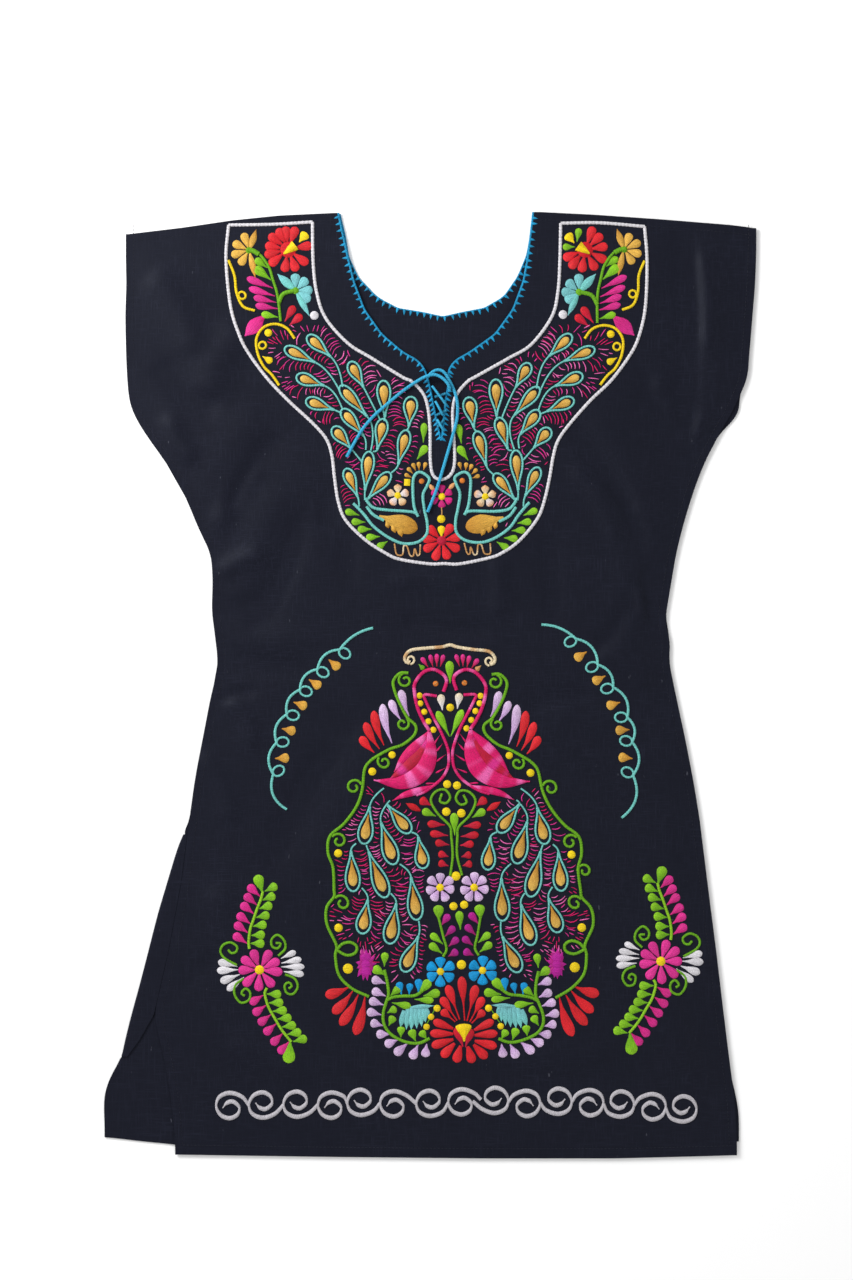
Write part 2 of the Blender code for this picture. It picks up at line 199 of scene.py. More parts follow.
def ease(t):
    t = np.clip(t, 0.0, 1.0)
    return t * t * (3.0 - 2.0 * t)


SHOULDER_FADE, HEM_FADE = 0.120, 0.110   # where rows change from the end lines to straight ones
END_INSET = 0.0012                       # cuts near an edge are taken this far inside it
CUFF_CUT, HEM_CUT = -0.272, 0.0140       # of the cut down a sleeve, and of the lowest cut across
END_PLACES = 80


class Outline:
    """Plan of a panel: sides and neck edges by level, and shoulder and hem lines by place."""

    def __init__(self, name, step):
        triangles = node_triangles(name)
        low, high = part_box(name)
        self.top, self.bottom = high.y, low.y
        count = math.ceil((self.top - self.bottom) / step)
        self.levels = np.linspace(self.top, self.bottom, count + 1)
        cuffs = spans(triangles, 0, CUFF_CUT)[-1][1]
        sides, necks = [], []
        for level in self.levels:
            inside = min(max(level, self.bottom + HEM_CUT), self.top - END_INSET)
            across = spans(triangles, 1, min(inside, cuffs - END_INSET))
            sides.append((across[0][0], across[-1][1]))
            across = spans(triangles, 1, inside)
            necks.append((across[0][1], across[-1][0]) if len(across) > 1 else None)
        self.left, self.right = (soften(edge, 2) for edge in zip(*sides))
        opened = necks.index(None)
        self.open = np.arange(len(necks)) < opened
        tip = sum(necks[opened - 1]) / 2
        shift = (self.left[-1] + self.right[-1]) / 2 - tip
        line = tip + shift * np.linspace(0.0, 1.0, len(necks) - opened)
        self.neck_left = np.append([neck[0] for neck in necks[:opened]], line)
        self.neck_right = np.append([neck[1] for neck in necks[:opened]], line)
        self.shoulder = self.end_line(triangles, self.left[0], self.right[0], -1)
        open_neck = (self.shoulder[0] > self.neck_left[0]) & (self.shoulder[0] < self.neck_right[0])
        self.shoulder = self.shoulder[:, ~open_neck]
        self.hem = self.end_line(triangles, self.left[-1], self.right[-1], 0)

    @staticmethod
    def end_line(triangles, left, right, end):
        """Line of the last (end -1) or first (end 0) points of a panel's columns, as rows x, y."""
        places = np.linspace(left + 2 * END_INSET, right - 2 * END_INSET, END_PLACES)
        ends = [spans(triangles, 0, place)[end][end] for place in places]
        return np.array([places, ends])

    def shoulder_at(self, x):
        return np.interp(x, *self.shoulder)

    def hem_at(self, x):
        return np.interp(x, *self.hem)

    def settle(self, x, level):
        """Move a level at x so that the first row lies on the shoulders, the last on the hem."""
        at_top = ease(1.0 - (self.top - level) / SHOULDER_FADE)
        at_hem = ease(1.0 - (level - self.bottom) / HEM_FADE)
        return (level + at_top * (self.shoulder_at(x) - self.top)
                + at_hem * (self.hem_at(x) - self.bottom))


# Small creases of the front, over the solid's large folds. Ridges are above 0, troughs below.

Crease = namedtuple("Crease", "x0 y0 x1 y1 bend width depth")
CREASES = table_of(
    Crease, (235, 412, 241, 290, 3, 7, -1.4), (241, 300, 238, 200, -4, 6, -1.3),
    (248, 405, 252, 300, 4, 9, 0.8), (201, 272, 236, 180, 6, 5, -1.5), (210, 285, 222, 240, -3, 8, 0.8),
    (135, 232, 196, 129, 7, 6, -1.5), (128, 205, 176, 125, 5, 8, 0.9), (203, 104, 201, 84, -3, 4, -2.2),
    (201, 86, 216, 50, -6, 4, -2.2), (192, 90, 196, 60, 2, 6, 1.2), (110, 130, 113, 62, 2, 5, -0.9),
    (-142, 224, -186, 158, -6, 6, -1.2), (-155, 210, -196, 140, -5, 9, 0.9),
    (-91, 178, -98, 143, 2, 5, -0.8), (-76, 137, -73, 103, 1, 5, -0.8),
    (-120, 150, -161, 56, 8, 6, -1.2), (-197, 68, -148, 71, 3, 5, -1.1),
    (-174, 23, -116, 15, -3, 5, -1.3), (-193, -13, -160, -6, 2, 4, -1.1),
    (-118, -18, -96, -41, -3, 5, -1.1), (-98, -40, -68, -39, -3, 5, -0.9),
    (-89, -66, -124, -112, -5, 6, -1.4), (-123, -110, -139, -156, -2, 6, -1.1),
    (-231, -282, -191, -247, 2, 3.5, -1.3), (94, -20, 142, -9, 4, 5, -1.0),
    (104, -56, 178, -113, -7, 6, -1.3), (147, -190, 185, -211, 3, 6, -1.0),
    (241, -84, 243, -128, 1, 4, -1.0), (220, 24, 210, 3, 2, 3.5, -1.8),
    (-205, 260, -170, 330, 8, 16, 0.8), (-250, 300, -190, 250, -8, 12, -0.7),
    (-262, 380, -215, 300, 10, 14, 0.7), (120, 395, 200, 372, -6, 14, 0.6),
    (150, 30, 205, 0, 6, 10, 0.8), (60, 120, 62, 60, 3, 9, 0.6), (-40, 95, 40, 88, 6, 9, 0.5),
    (-30, 60, 60, 52, -5, 8, -0.5), (-200, -180, -150, -260, -8, 14, 0.8),
    (-190, -330, -120, -372, 8, 12, 0.7), (90, -345, 170, -330, -6, 12, 0.7),
    (205, -260, 235, -360, 6, 12, 0.8), (215, -190, 250, -250, -5, 9, -0.6),
    (-215, -60, -180, -130, 6, 10, 0.8), (-160, -60, -190, -10, -6, 9, 0.7),
    (180, 75, 150, 30, 5, 8, -0.7), (-195, 100, -150, 120, 5, 8, 0.8), (196, 150, 150, 190, 6, 9, 0.7),
    (-240, 250, -215, 205, -5, 9, 0.9), (255, 255, 225, 215, 5, 8, 0.8))
CREASE_POINTS = 7


def left_of(run):
    """A plan vector turned a quarter to its left."""
    return np.array([-run[1], run[0]])


def unit(run):
    """A plan vector of length one."""
    return run / np.hypot(*run)


def crease_line(crease):
    """Points along a crease, which bends sideways by its middle."""
    run = np.array([crease.x1 - crease.x0, crease.y1 - crease.y0])
    side = unit(left_of(run))
    along = np.linspace(0.0, 1.0, CREASE_POINTS)[:, None]
    start = np.array([crease.x0, crease.y0])
    return MM * (start + run * along + side * crease.bend * np.sin(math.pi * along))


def distance_to_line(points, line):
    """Distance of each point to a line of several stretches, and how far along it that is."""
    best = np.full(len(points), np.inf)
    share = np.zeros(len(points))
    for k, (a, b) in enumerate(zip(line, line[1:])):
        run = b - a
        t = np.clip((points - a) @ run / (run @ run), 0.0, 1.0)
        away = np.hypot(*(points - a - t[:, None] * run).T)
        nearer = away < best
        best[nearer], share[nearer] = away[nearer], (k + t[nearer]) / (len(line) - 1)
    return best, share


CREASE_END = 0.18      # share of a crease's length over which it comes up at each end
CREASE_FAINTEST = 0.2  # of a crease's depth that is left at its ends
RELIEF_CELL = 0.003
RELIEF_MARGIN = 4      # cells round the panel, and cells that the blur reaches
RELIEF_BLUR = 0.0055   # rounds off the facets of the solid
LOWEST_FRONT = 2 * CLOTH + SEAM_GAP


class Relief:
    """Height of the top of the front panel over its plan."""

    def __init__(self, strength):
        low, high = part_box("front")
        self.origin = np.array([low.x, low.y]) - RELIEF_MARGIN * RELIEF_CELL
        size = np.array([high.x, high.y]) + RELIEF_MARGIN * RELIEF_CELL - self.origin
        self.shape = np.ceil(size / RELIEF_CELL).astype(int) + 1
        xs = self.origin[0] + RELIEF_CELL * np.arange(self.shape[0])
        ys = self.origin[1] + RELIEF_CELL * np.arange(self.shape[1])
        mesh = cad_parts["front"].data
        tree = BVHTree.FromPolygons([v.co for v in mesh.vertices], [p.vertices for p in mesh.polygons])
        down, above = Vector((0, 0, -1)), high.z + 0.1
        height = np.full(self.shape, np.nan)
        for i, x in enumerate(xs):
            for j, y in enumerate(ys):
                hit = tree.ray_cast(Vector((x, y, above)), down)[0]
                if hit is not None:
                    height[i, j] = hit.z
        height = self.blurred(height)
        grid = np.stack(np.meshgrid(xs, ys, indexing="ij"), -1).reshape(-1, 2)
        for crease in CREASES:
            away, share = distance_to_line(grid, crease_line(crease))
            fade = ease(np.minimum(share, 1 - share) / CREASE_END)
            fade = CREASE_FAINTEST + (1 - CREASE_FAINTEST) * fade
            bump = crease.depth * MM * strength * fade * np.exp(-(away / (crease.width * MM)) ** 2)
            height += bump.reshape(self.shape)
        self.height = np.maximum(height, LOWEST_FRONT)

    @staticmethod
    def blurred(height):
        """Blur over the covered cells alone, so that the edges keep their height."""
        offsets = np.arange(-RELIEF_MARGIN, RELIEF_MARGIN + 1) * RELIEF_CELL
        kernel = np.exp(-(offsets / RELIEF_BLUR) ** 2)
        known = np.isfinite(height)
        weight, total = known.astype(float), np.where(known, height, 0.0)
        for axis in range(2):
            weight = np.apply_along_axis(np.convolve, axis, weight, kernel, "same")
            total = np.apply_along_axis(np.convolve, axis, total, kernel, "same")
        return np.where(weight > 1e-6, total / np.maximum(weight, 1e-6), LOWEST_FRONT)

    def at(self, points):
        """Height at plan points, in metres, between the four nearest cells."""
        place = (np.asarray(points, float) - self.origin) / RELIEF_CELL
        place = np.clip(place, 0, self.shape - 1.001)
        cell = place.astype(int)
        fx, fy = (place - cell).T
        i, j = cell.T
        h = self.height
        return ((h[i, j] * (1 - fx) + h[i + 1, j] * fx) * (1 - fy)
                + (h[i, j + 1] * (1 - fx) + h[i + 1, j + 1] * fx) * fy)


# Panels of cloth

def panel_points(outline, spacing):
    """Number the plan points of a panel row by row. Below the neck both halves share one line."""
    columns = math.ceil((outline.right - outline.left).max() / 2 / spacing)
    index, plan = {}, []
    for r, level in enumerate(outline.levels):
        halves = ((outline.left[r], outline.neck_left[r]), (outline.neck_right[r], outline.right[r]))
        for half, (start, end) in enumerate(halves):
            for c in range(columns + 1):
                if half == 1 and c == 0 and not outline.open[r]:
                    index[r, 1, 0] = index[r, 0, columns]
                    continue
                index[r, half, c] = len(plan)
                plan.append((start + (end - start) * c / columns, level))
    plan = np.array(plan)
    plan[:, 1] = outline.settle(plan[:, 0], plan[:, 1])
    return index, plan, columns


def panel_faces(index, rows, columns, face_up):
    faces = []
    for r in range(rows - 1):
        for half in range(2):
            for c in range(columns):
                quad = [index[r, half, c], index[r + 1, half, c],
                        index[r + 1, half, c + 1], index[r, half, c + 1]]
                faces.append(quad if face_up else quad[::-1])
    return faces


WALL_SHARP, STITCH_SHARP = 60, 75        # edges that turn by more degrees than this stay sharp


def new_piece(name, points, faces, material, sharp):
    """A smooth mesh object with one material."""
    mesh = bpy.data.meshes.new(name)
    mesh.from_pydata(points.tolist(), [], faces)
    mesh.materials.append(material)
    mesh.shade_smooth()
    mesh.set_sharp_from_angle(angle=math.radians(sharp))
    piece = bpy.data.objects.new(name, mesh)
    bpy.context.scene.collection.objects.link(piece)
    return piece


def close_wall(name, outer, inner, faces, material):
    """A closed sheet from its outer and inner side, with a rim along its free edges."""
    count = len(outer)
    edges = {(face[k - 1], face[k]) for face in faces for k in range(len(face))}
    rim = sorted((b, a, a + count, b + count) for a, b in edges if (b, a) not in edges)
    inside = [[corner + count for corner in reversed(face)] for face in faces]
    return new_piece(name, np.concatenate([outer, inner]), faces + inside + rim, material, WALL_SHARP)


def front_cloth(sizes, outline, relief, material):
    index, plan, columns = panel_points(outline, sizes.grid)
    faces = panel_faces(index, len(outline.levels), columns, face_up=True)
    top = relief.at(plan)
    outer = np.column_stack([plan, top])
    inner = np.column_stack([plan, top - CLOTH])
    return close_wall("front_cloth", outer, inner, faces, material)


FOLD_RADIUS = (CLOTH + SEAM_GAP) / 2     # of the middle of the cloth at the wrapped side
FOLD_REACH = FOLD_RADIUS + CLOTH / 2
FOLD_POINTS = 7
FLAP_COLUMNS = 4


def flap_by_level(levels):
    """Right edge of the flap that the wrapped side makes, at each level that has one."""
    triangles = node_triangles("back")
    upper = triangles[triangles[:, :, 2].min(1) > CLOTH + SEAM_GAP / 2]
    low, high = upper[:, :, 1].min(), upper[:, :, 1].max()
    edges = {}
    for r, level in enumerate(levels):
        if low + SEAM_GAP < level < high - SEAM_GAP:
            edges[r] = spans(upper, 1, level)[-1][1]
    return edges


def back_cloth(sizes, material):
    outline = Outline("back", sizes.grid)
    flap = flap_by_level(outline.levels)
    fold_left = outline.left.copy()
    for r in flap:
        outline.left[r] += FOLD_REACH
    index, plan, columns = panel_points(outline, sizes.back_grid)
    faces = panel_faces(index, len(outline.levels), columns, face_up=False)
    outer = [(x, y, 0.0) for x, y in plan]
    inner = [(x, y, CLOTH) for x, y in plan]
    last = FLAP_COLUMNS + FOLD_POINTS - 1
    fold = {}
    for r, edge in flap.items():
        y = outline.levels[r]
        centre_x, centre_z = fold_left[r] + FOLD_REACH, CLOTH / 2 + FOLD_RADIUS
        section = [(edge + (centre_x - edge) * k / FLAP_COLUMNS, centre_z + FOLD_RADIUS, 0.0, 1.0)
                   for k in range(FLAP_COLUMNS)]
        for k in range(FOLD_POINTS - 1):
            turn = math.pi * (0.5 + k / (FOLD_POINTS - 1))
            out_x, out_z = math.cos(turn), math.sin(turn)
            section.append((centre_x + FOLD_RADIUS * out_x, centre_z + FOLD_RADIUS * out_z, out_x, out_z))
        for c, (x, z, out_x, out_z) in enumerate(section):
            fold[r, c] = len(outer)
            outer.append((x + CLOTH / 2 * out_x, y, z + CLOTH / 2 * out_z))
            inner.append((x - CLOTH / 2 * out_x, y, z - CLOTH / 2 * out_z))
        fold[r, last] = index[r, 0, 0]
    for r in sorted(flap)[:-1]:
        for c in range(last):
            faces.append([fold[r, c], fold[r, c + 1], fold[r + 1, c + 1], fold[r + 1, c]])
    return close_wall("back_cloth", np.array(outer), np.array(inner), faces, material), outline


# Materials

class Finish:
    """A material with its nodes. A socket takes a number, a colour or another node's output."""

    def __init__(self, name, **values):
        self.material = bpy.data.materials.new(name)
        self.material.use_nodes = True
        self.nodes, self.links = self.material.node_tree.nodes, self.material.node_tree.links
        self.shader = self.nodes["Principled BSDF"]
        for socket, value in values.items():
            self.put(self.shader.inputs[socket.replace("_", " ")], value)

    def put(self, socket, value):
        if isinstance(value, bpy.types.NodeSocket):
            self.links.new(value, socket)
        else:
            socket.default_value = (*value, 1.0) if socket.type == "RGBA" else value

    def node(self, kind, **values):
        """A new node of a kind, with values for its inputs by name."""
        node = self.nodes.new("ShaderNode" + kind)
        for socket, value in values.items():
            self.put(node.inputs[socket.replace("_", " ")], value)
        return node

    def noise(self, vector, scale, stretch=(1.0, 1.0, 1.0), detail=2.0):
        """Noise that is drawn out along the axes whose stretch is small."""
        mapping = self.node("Mapping", Scale=stretch, Vector=vector)
        vector = mapping.outputs["Vector"]
        return self.node("TexNoise", Scale=scale, Detail=detail, Vector=vector).outputs["Fac"]

    def math(self, operation, *values):
        node = self.node("Math")
        node.operation = operation
        for socket, value in zip(node.inputs, values):
            self.put(socket, value)
        return node.outputs[0]

    def range(self, value, low, high, to_low=0.0, to_high=1.0):
        node = self.node("MapRange", Value=value, From_Min=low, From_Max=high, To_Min=to_low,
                         To_Max=to_high)
        return node.outputs["Result"]

    def mix(self, share, first, second):
        node = self.node("Mix")
        node.data_type = "RGBA"
        for socket, value in (("Factor", share), ("A", first), ("B", second)):
            self.put(node.inputs[socket], value)
        return node.outputs["Result"]

    def bump(self, height, strength, distance):
        bump = self.node("Bump", Strength=strength, Distance=distance, Height=height)
        self.put(self.shader.inputs["Normal"], bump.outputs["Normal"])


def cotton_material(sizes):
    """Matte plain weave: slubby yarns both ways, patches of wear and short pale lint."""
    cotton = Finish("navy_cotton", Roughness=0.55, Specular_IOR_Level=0.12, Sheen_Weight=0.04,
                    Sheen_Roughness=0.55, Specular_Tint=(0.80, 0.86, 1.0),
                    Sheen_Tint=(0.55, 0.60, 0.80))
    place = cotton.node("TexCoord").outputs["Object"]
    across = cotton.noise(place, 1.0 / sizes.yarn, (1.0, 0.05, 1.0))
    along = cotton.noise(place, 1.0 / sizes.yarn, (0.05, 1.0, 1.0))
    yarns = cotton.math("MAXIMUM", across, along)
    wear = cotton.range(cotton.noise(place, 14.0, detail=4.0), 0.35, 0.7, 0.4, 1.0)
    worn = cotton.math("MULTIPLY", cotton.range(yarns, 0.50, 0.80), wear)
    body = cotton.mix(worn, sizes.dark, sizes.worn)
    flecks = cotton.range(cotton.noise(place, 260.0, (1.0, 0.35, 1.0), detail=3.0), 0.735, 0.78)
    cotton.put(cotton.shader.inputs["Base Color"], cotton.mix(flecks, body, sizes.lint))
    cotton.bump(yarns, 0.5, sizes.yarn / 3)
    return cotton.material


def thread_material(name, roughness, sheen):
    """Cotton thread whose colour is in the piece's own attribute. On the UV map, U runs along
    the thread and V from one strand to the next, both in millimetres."""
    thread = Finish(name, Roughness=roughness, Specular_IOR_Level=0.22, Sheen_Weight=sheen,
                    Sheen_Roughness=0.4)
    dye, place = thread.node("Attribute"), thread.node("UVMap")
    dye.attribute_name, place.uv_map = DYE, STRANDS
    place = place.outputs["UV"]
    strands = thread.noise(place, 1.0, (0.16, 2.4, 1.0))
    fibres = thread.noise(place, 1.0, (0.5, 7.0, 1.0))
    grain = thread.noise(place, 1.0, (1.1, 2.0, 1.0), detail=3.0)
    # Painted sheen and painted shade: the strands noise lightens the dye in streaks along the threads and
    # darkens it between strands, while the grain is the fibres' own uneven tone
    shade = thread.math("MULTIPLY", thread.range(strands, 0.3, 0.7, 0.62, 1.24),
                        thread.range(grain, 0.36, 0.64, 0.66, 1.22))
    scale = thread.node("VectorMath")
    scale.operation = "SCALE"
    thread.put(scale.inputs[0], dye.outputs["Color"])
    thread.put(scale.inputs["Scale"], shade)
    thread.put(thread.shader.inputs["Base Color"], scale.outputs["Vector"])
    thread.bump(thread.math("MULTIPLY_ADD", strands, 2.0, fibres), 0.55, 0.0004)
    return thread.material


# Curves in the plan, in millimetres

def curve(points, step=1.2):
    """Points every step along a smooth curve through the given ones."""
    points = np.array(points, float)
    padded = np.concatenate([[2 * points[0] - points[1]], points, [2 * points[-1] - points[-2]]])
    t = np.linspace(0.0, 1.0, 12, endpoint=False)[:, None]
    fine = [0.5 * (2 * b + (c - a) * t + (2 * a - 5 * b + 4 * c - d) * t ** 2
                   + (3 * b - a - 3 * c + d) * t ** 3)
            for a, b, c, d in zip(padded, padded[1:], padded[2:], padded[3:])]
    return evenly(np.concatenate(fine + [points[-1:]]), step)


def arc(start, pull, end, step=1.2):
    """Points every step along a line that is bent aside by one pull."""
    t = np.linspace(0.0, 1.0, 18)[:, None]
    return evenly((1 - t) ** 2 * start + 2 * t * (1 - t) * pull + t ** 2 * end, step)


def turned(vector, degrees):
    """A plan vector turned anticlockwise."""
    cos, sin = math.cos(math.radians(degrees)), math.sin(math.radians(degrees))
    return np.array([vector[0] * cos - vector[1] * sin, vector[0] * sin + vector[1] * cos])


def walk(path):
    """Distance along a path to each of its points."""
    return np.concatenate([[0.0], np.cumsum(np.linalg.norm(np.diff(path, axis=0), axis=1))])


def evenly(line, step):
    """Points at equal distances of about a step along a line."""
    walked = walk(line)
    stations = np.linspace(0.0, walked[-1], max(3, round(walked[-1] / step) + 1))
    return np.column_stack([np.interp(stations, walked, column) for column in line.T])


def directions(path):
    """Unit direction of a path at each of its points, and the unit vector to its right."""
    run = np.gradient(path[:, :2], axis=0)
    run /= np.maximum(np.hypot(*run.T), 1e-9)[:, None]
    return run, np.column_stack([run[:, 1], -run[:, 0]])


def spiral(centre, radius, start, turns, inner):
    """A curl that winds from its rim inwards. Start and turns are counted in whole turns."""
    share = np.linspace(0.0, 1.0, max(10, int(abs(turns) * 22)))
    angle = 2 * math.pi * (start + turns * share)
    reach = radius * (1.0 - (1.0 - inner) * share)
    return np.column_stack([centre[0] + reach * np.cos(angle), centre[1] + reach * np.sin(angle)])


THIN_START, THIN_RISE, WIDE_RISE = 0.15, 1.9, 1.3
DROP_PLUMP = 1.14                        # greatest half width of a drop, as a share of its given one


def swell(share, belly, start, pointed):
    """Half width along a petal as a share of its greatest: it rises to the belly, then falls.
    A thin start rises late."""
    late = THIN_RISE if start < THIN_START else WIDE_RISE
    rise = start + (1.0 - start) * np.sin(math.pi / 2 * np.clip(share / belly, 0.0, 1.0)) ** late
    past = np.clip((share - belly) / (1.0 - belly), 0.0, 1.0)
    fall = np.cos(math.pi / 2 * past) if pointed else np.sqrt(1.0 - past ** 2)
    return np.where(share < belly, rise, fall)


# Stitches

DYE, STRANDS = "thread_colour", "strands"
SINK = 0.25                                              # of a stitch's edges into the cloth
DOME = ((-1.0, 0.0), (-0.78, 0.74), (0.0, 1.0), (0.78, 0.74), (1.0, 0.0))
ROOF = ((-1.0, 0.0), (0.0, 1.0), (1.0, 0.0))
DOT_SIDES = 12
PETAL_FILL = 0.70      # half width of petals, as a share of what their number would leave at the rim


class Work:
    """Stitches that are gathered for one piece. Plan and heights are in millimetres."""

    def __init__(self, seed=1, ground=None):
        self.plan, self.lift, self.dye, self.strands, self.faces = [], [], [], [], []
        self.count = 0
        self.rng = np.random.default_rng(seed)
        self.ground = ground or Made.relief.at

    def add(self, plan, lift, dye, strands, faces):
        self.plan.append(plan)
        self.lift.append(lift)
        self.dye.append(np.broadcast_to(dye, (len(plan), 3)))
        self.strands.append(strands)
        self.faces += [[corner + self.count for corner in face] for face in faces]
        self.count += len(plan)

    def ribbon(self, path, half, crest, dye, section=DOME, slant=0.0, raised=0.0):
        """A raised band of thread along a path, closed underneath and at its ends."""
        path = np.asarray(path, float)
        rows, columns = len(path), len(section)
        across, up = np.array(section).T
        half = np.broadcast_to(half, rows)[:, None]
        crest = np.broadcast_to(crest, rows)[:, None]
        right = directions(path)[1]
        plan = path[:, None, :2] + right[:, None, :] * (half * across)[:, :, None]
        lift = crest * up - SINK * (up < 0.01) + np.reshape(raised, (-1, 1))
        walked = walk(path[:, :2])[:, None]
        offset = self.rng.uniform(0.0, 90.0, 2)
        strands = np.stack([np.broadcast_to(walked, (rows, columns)) + offset[0],
                            half * across + slant * walked + offset[1]], -1)
        dye = np.asarray(dye, float)
        dye = np.repeat(np.broadcast_to(dye, (rows, 3)), columns, axis=0)
        at = np.arange(rows * columns).reshape(rows, columns)
        near, far = at[:-1], at[1:]
        top = np.stack([near[:, :-1], near[:, 1:], far[:, 1:], far[:, :-1]], -1).reshape(-1, 4)
        below = np.stack([near[:, -1], near[:, 0], far[:, 0], far[:, -1]], -1)
        faces = top.tolist() + below.tolist() + [at[0, ::-1].tolist(), at[-1].tolist()]
        self.add(plan.reshape(-1, 2), lift.reshape(-1), dye, strands.reshape(-1, 2), faces)

    def rope(self, path, half, dye, crest=None, pitch=2.6):
        """A line of stem stitches: a low rope that swells once a stitch."""
        path = np.asarray(path, float)
        walked = walk(path)
        beat = np.abs(np.sin(math.pi * walked / pitch + self.rng.uniform(0, 3)))
        crest = crest or 0.95 * half
        # Painted highlight and shade: the dye is lighter where each stitch swells and darker in the dips
        # between stitches
        shade = (0.82 + 0.22 * beat)[:, None]
        self.ribbon(path, half * (0.88 + 0.16 * beat), crest * (0.78 + 0.3 * beat),
                    np.asarray(dye) * shade, slant=1.1)

    def blade(self, base, tip, half, dye, tip_dye=None, bend=0.0, belly=0.62, start=0.30,
              pointed=False, crest=0.9, rows=9):
        """A satin-stitched petal, leaf or drop from its base to its tip."""
        base, tip = np.array(base, float), np.array(tip, float)
        share = np.sin(math.pi / 2 * np.linspace(0.0, 1.0, rows)) ** 0.85
        run = tip - base
        side = left_of(run) * bend
        path = base + run * share[:, None] + side * np.sin(math.pi * share)[:, None]
        width = np.maximum(swell(share, belly, start, pointed), 0.10)
        mixed = np.asarray(dye, float)
        if tip_dye is not None:
            mixed = mixed + (np.asarray(tip_dye) - mixed) * (share ** 1.5)[:, None]
        mixed = mixed * self.rng.uniform(0.90, 1.08)
        self.ribbon(path, half * width, crest * np.maximum(width, 0.35), mixed)

    def drop(self, tail, head, half, dye, tip_dye=None, bend=0.0):
        self.blade(tail, head, half * DROP_PLUMP, dye, tip_dye, bend, belly=0.76, start=0.10)

    def ray(self, tail, head, half, dye, tip_dye=None, bend=0.0):
        """A petal on a long thin tail."""
        tail, head = np.array(tail, float), np.array(head, float)
        self.rope(evenly(np.array([tail, tail + (head - tail) * 0.5]), 1.2), 0.75, dye)
        self.drop(tail + (head - tail) * 0.28, head, half, dye, tip_dye, bend)

    def leaf(self, base, tip, half, dye, tip_dye=None, bend=0.0):
        self.blade(base, tip, half, dye, tip_dye, bend, belly=0.46, start=0.30, pointed=True)

    def dot(self, centre, radius, dye, crest=1.2):
        """A round satin dot."""
        angle = 2 * math.pi * (np.arange(DOT_SIDES) + self.rng.uniform()) / DOT_SIDES
        rim = np.column_stack([np.cos(angle), np.sin(angle)])
        plan = [np.array(centre) + rim * radius * reach for reach in (1.0, 0.72, 0.30)]
        lift = np.repeat([-SINK, 0.72 * crest, crest], DOT_SIDES)
        ring = np.arange(DOT_SIDES)
        after = np.roll(ring, -1)
        faces = []
        for near in (0, DOT_SIDES):
            far = near + DOT_SIDES
            faces += np.stack([ring + near, after + near, after + far, ring + far], -1).tolist()
        faces += [(ring + 2 * DOT_SIDES).tolist(), ring[::-1].tolist()]
        plan = np.concatenate(plan)
        self.add(plan, lift, np.asarray(dye) * self.rng.uniform(0.92, 1.06),
                 plan + self.rng.uniform(0, 90, 2), faces)

    def flower(self, centre, radius, petals, dye, heart, hub=0.28, tip_dye=None, half=None):
        """Satin petals about a hub, and a dot on it. Petals are a count, or angles in degrees."""
        centre = np.array(centre, float)
        angles = petals if np.ndim(petals) else 90 + 360 / petals * np.arange(petals)
        half = half or PETAL_FILL * math.pi * radius / len(angles)
        for angle in angles:
            out = turned((1.0, 0.0), angle + self.rng.normal(0.0, 1.6))
            reach = radius * self.rng.uniform(0.95, 1.04)
            self.blade(centre + out * radius * hub * 0.8, centre + out * reach, half, dye, tip_dye,
                       belly=0.76, start=0.18)
        self.dot(centre, radius * hub, heart, crest=1.5)

    def finish(self, name, material, slot="cotton"):
        """Lay the stitches on the cloth as one mesh."""
        plan = np.concatenate(self.plan) * MM
        height = self.ground(plan) + np.concatenate(self.lift) * MM
        piece = new_piece(name, np.column_stack([plan, height]), self.faces, material, STITCH_SHARP)
        mesh = piece.data
        dye = mesh.attributes.new(DYE, "FLOAT_COLOR", "POINT")
        colours = np.column_stack([np.concatenate(self.dye), np.ones(len(plan))])
        dye.data.foreach_set("color", np.clip(colours, 0.0, 1.0).astype(np.float32).ravel())
        corners = np.empty(len(mesh.loops), np.int32)
        mesh.loops.foreach_get("vertex_index", corners)
        strands = np.concatenate(self.strands)[corners]
        mesh.uv_layers.new(name=STRANDS).data.foreach_set("uv", strands.astype(np.float32).ravel())
        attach(piece, "root")
        return piece


# Free ground, for the short stitches that fill a design

GROUND_CELL = 0.6


class Ground:
    """Cloth inside an edge that no stitch covers yet, as a grid of cells."""

    def __init__(self, edge):
        self.low = edge.min(0) - 3
        self.shape = np.ceil((edge.max(0) + 3 - self.low) / GROUND_CELL).astype(int) + 1
        xs = self.low[0] + GROUND_CELL * np.arange(self.shape[0])
        ys = self.low[1] + GROUND_CELL * np.arange(self.shape[1])
        x, y = np.meshgrid(xs, ys, indexing="ij")
        inside = np.zeros(self.shape, bool)
        for (ax, ay), (bx, by) in zip(edge, np.roll(edge, -1, axis=0)):
            if ay != by:
                inside ^= ((ay > y) != (by > y)) & (x < (bx - ax) * (y - ay) / (by - ay) + ax)
        self.taken = ~inside

    def cells(self, points):
        cells = np.round((np.asarray(points) - self.low) / GROUND_CELL).astype(int)
        return np.clip(cells, 0, self.shape - 1)

    def take(self, path, reach):
        """Take the cells within reach of a path."""
        path = evenly(np.asarray(path, float)[:, :2], GROUND_CELL)
        near = math.ceil(reach / GROUND_CELL)
        steps = np.arange(-near, near + 1)
        disc = np.array([(i, j) for i in steps for j in steps if math.hypot(i, j) * GROUND_CELL <= reach])
        cells = (self.cells(path)[:, None] + disc).reshape(-1, 2)
        i, j = np.clip(cells, 0, self.shape - 1).T
        self.taken[i, j] = True

    def free(self, a, b):
        share = np.linspace(0.0, 1.0, 9)[:, None]
        i, j = self.cells(a + (b - a) * share).T
        return not self.taken[i, j].any()


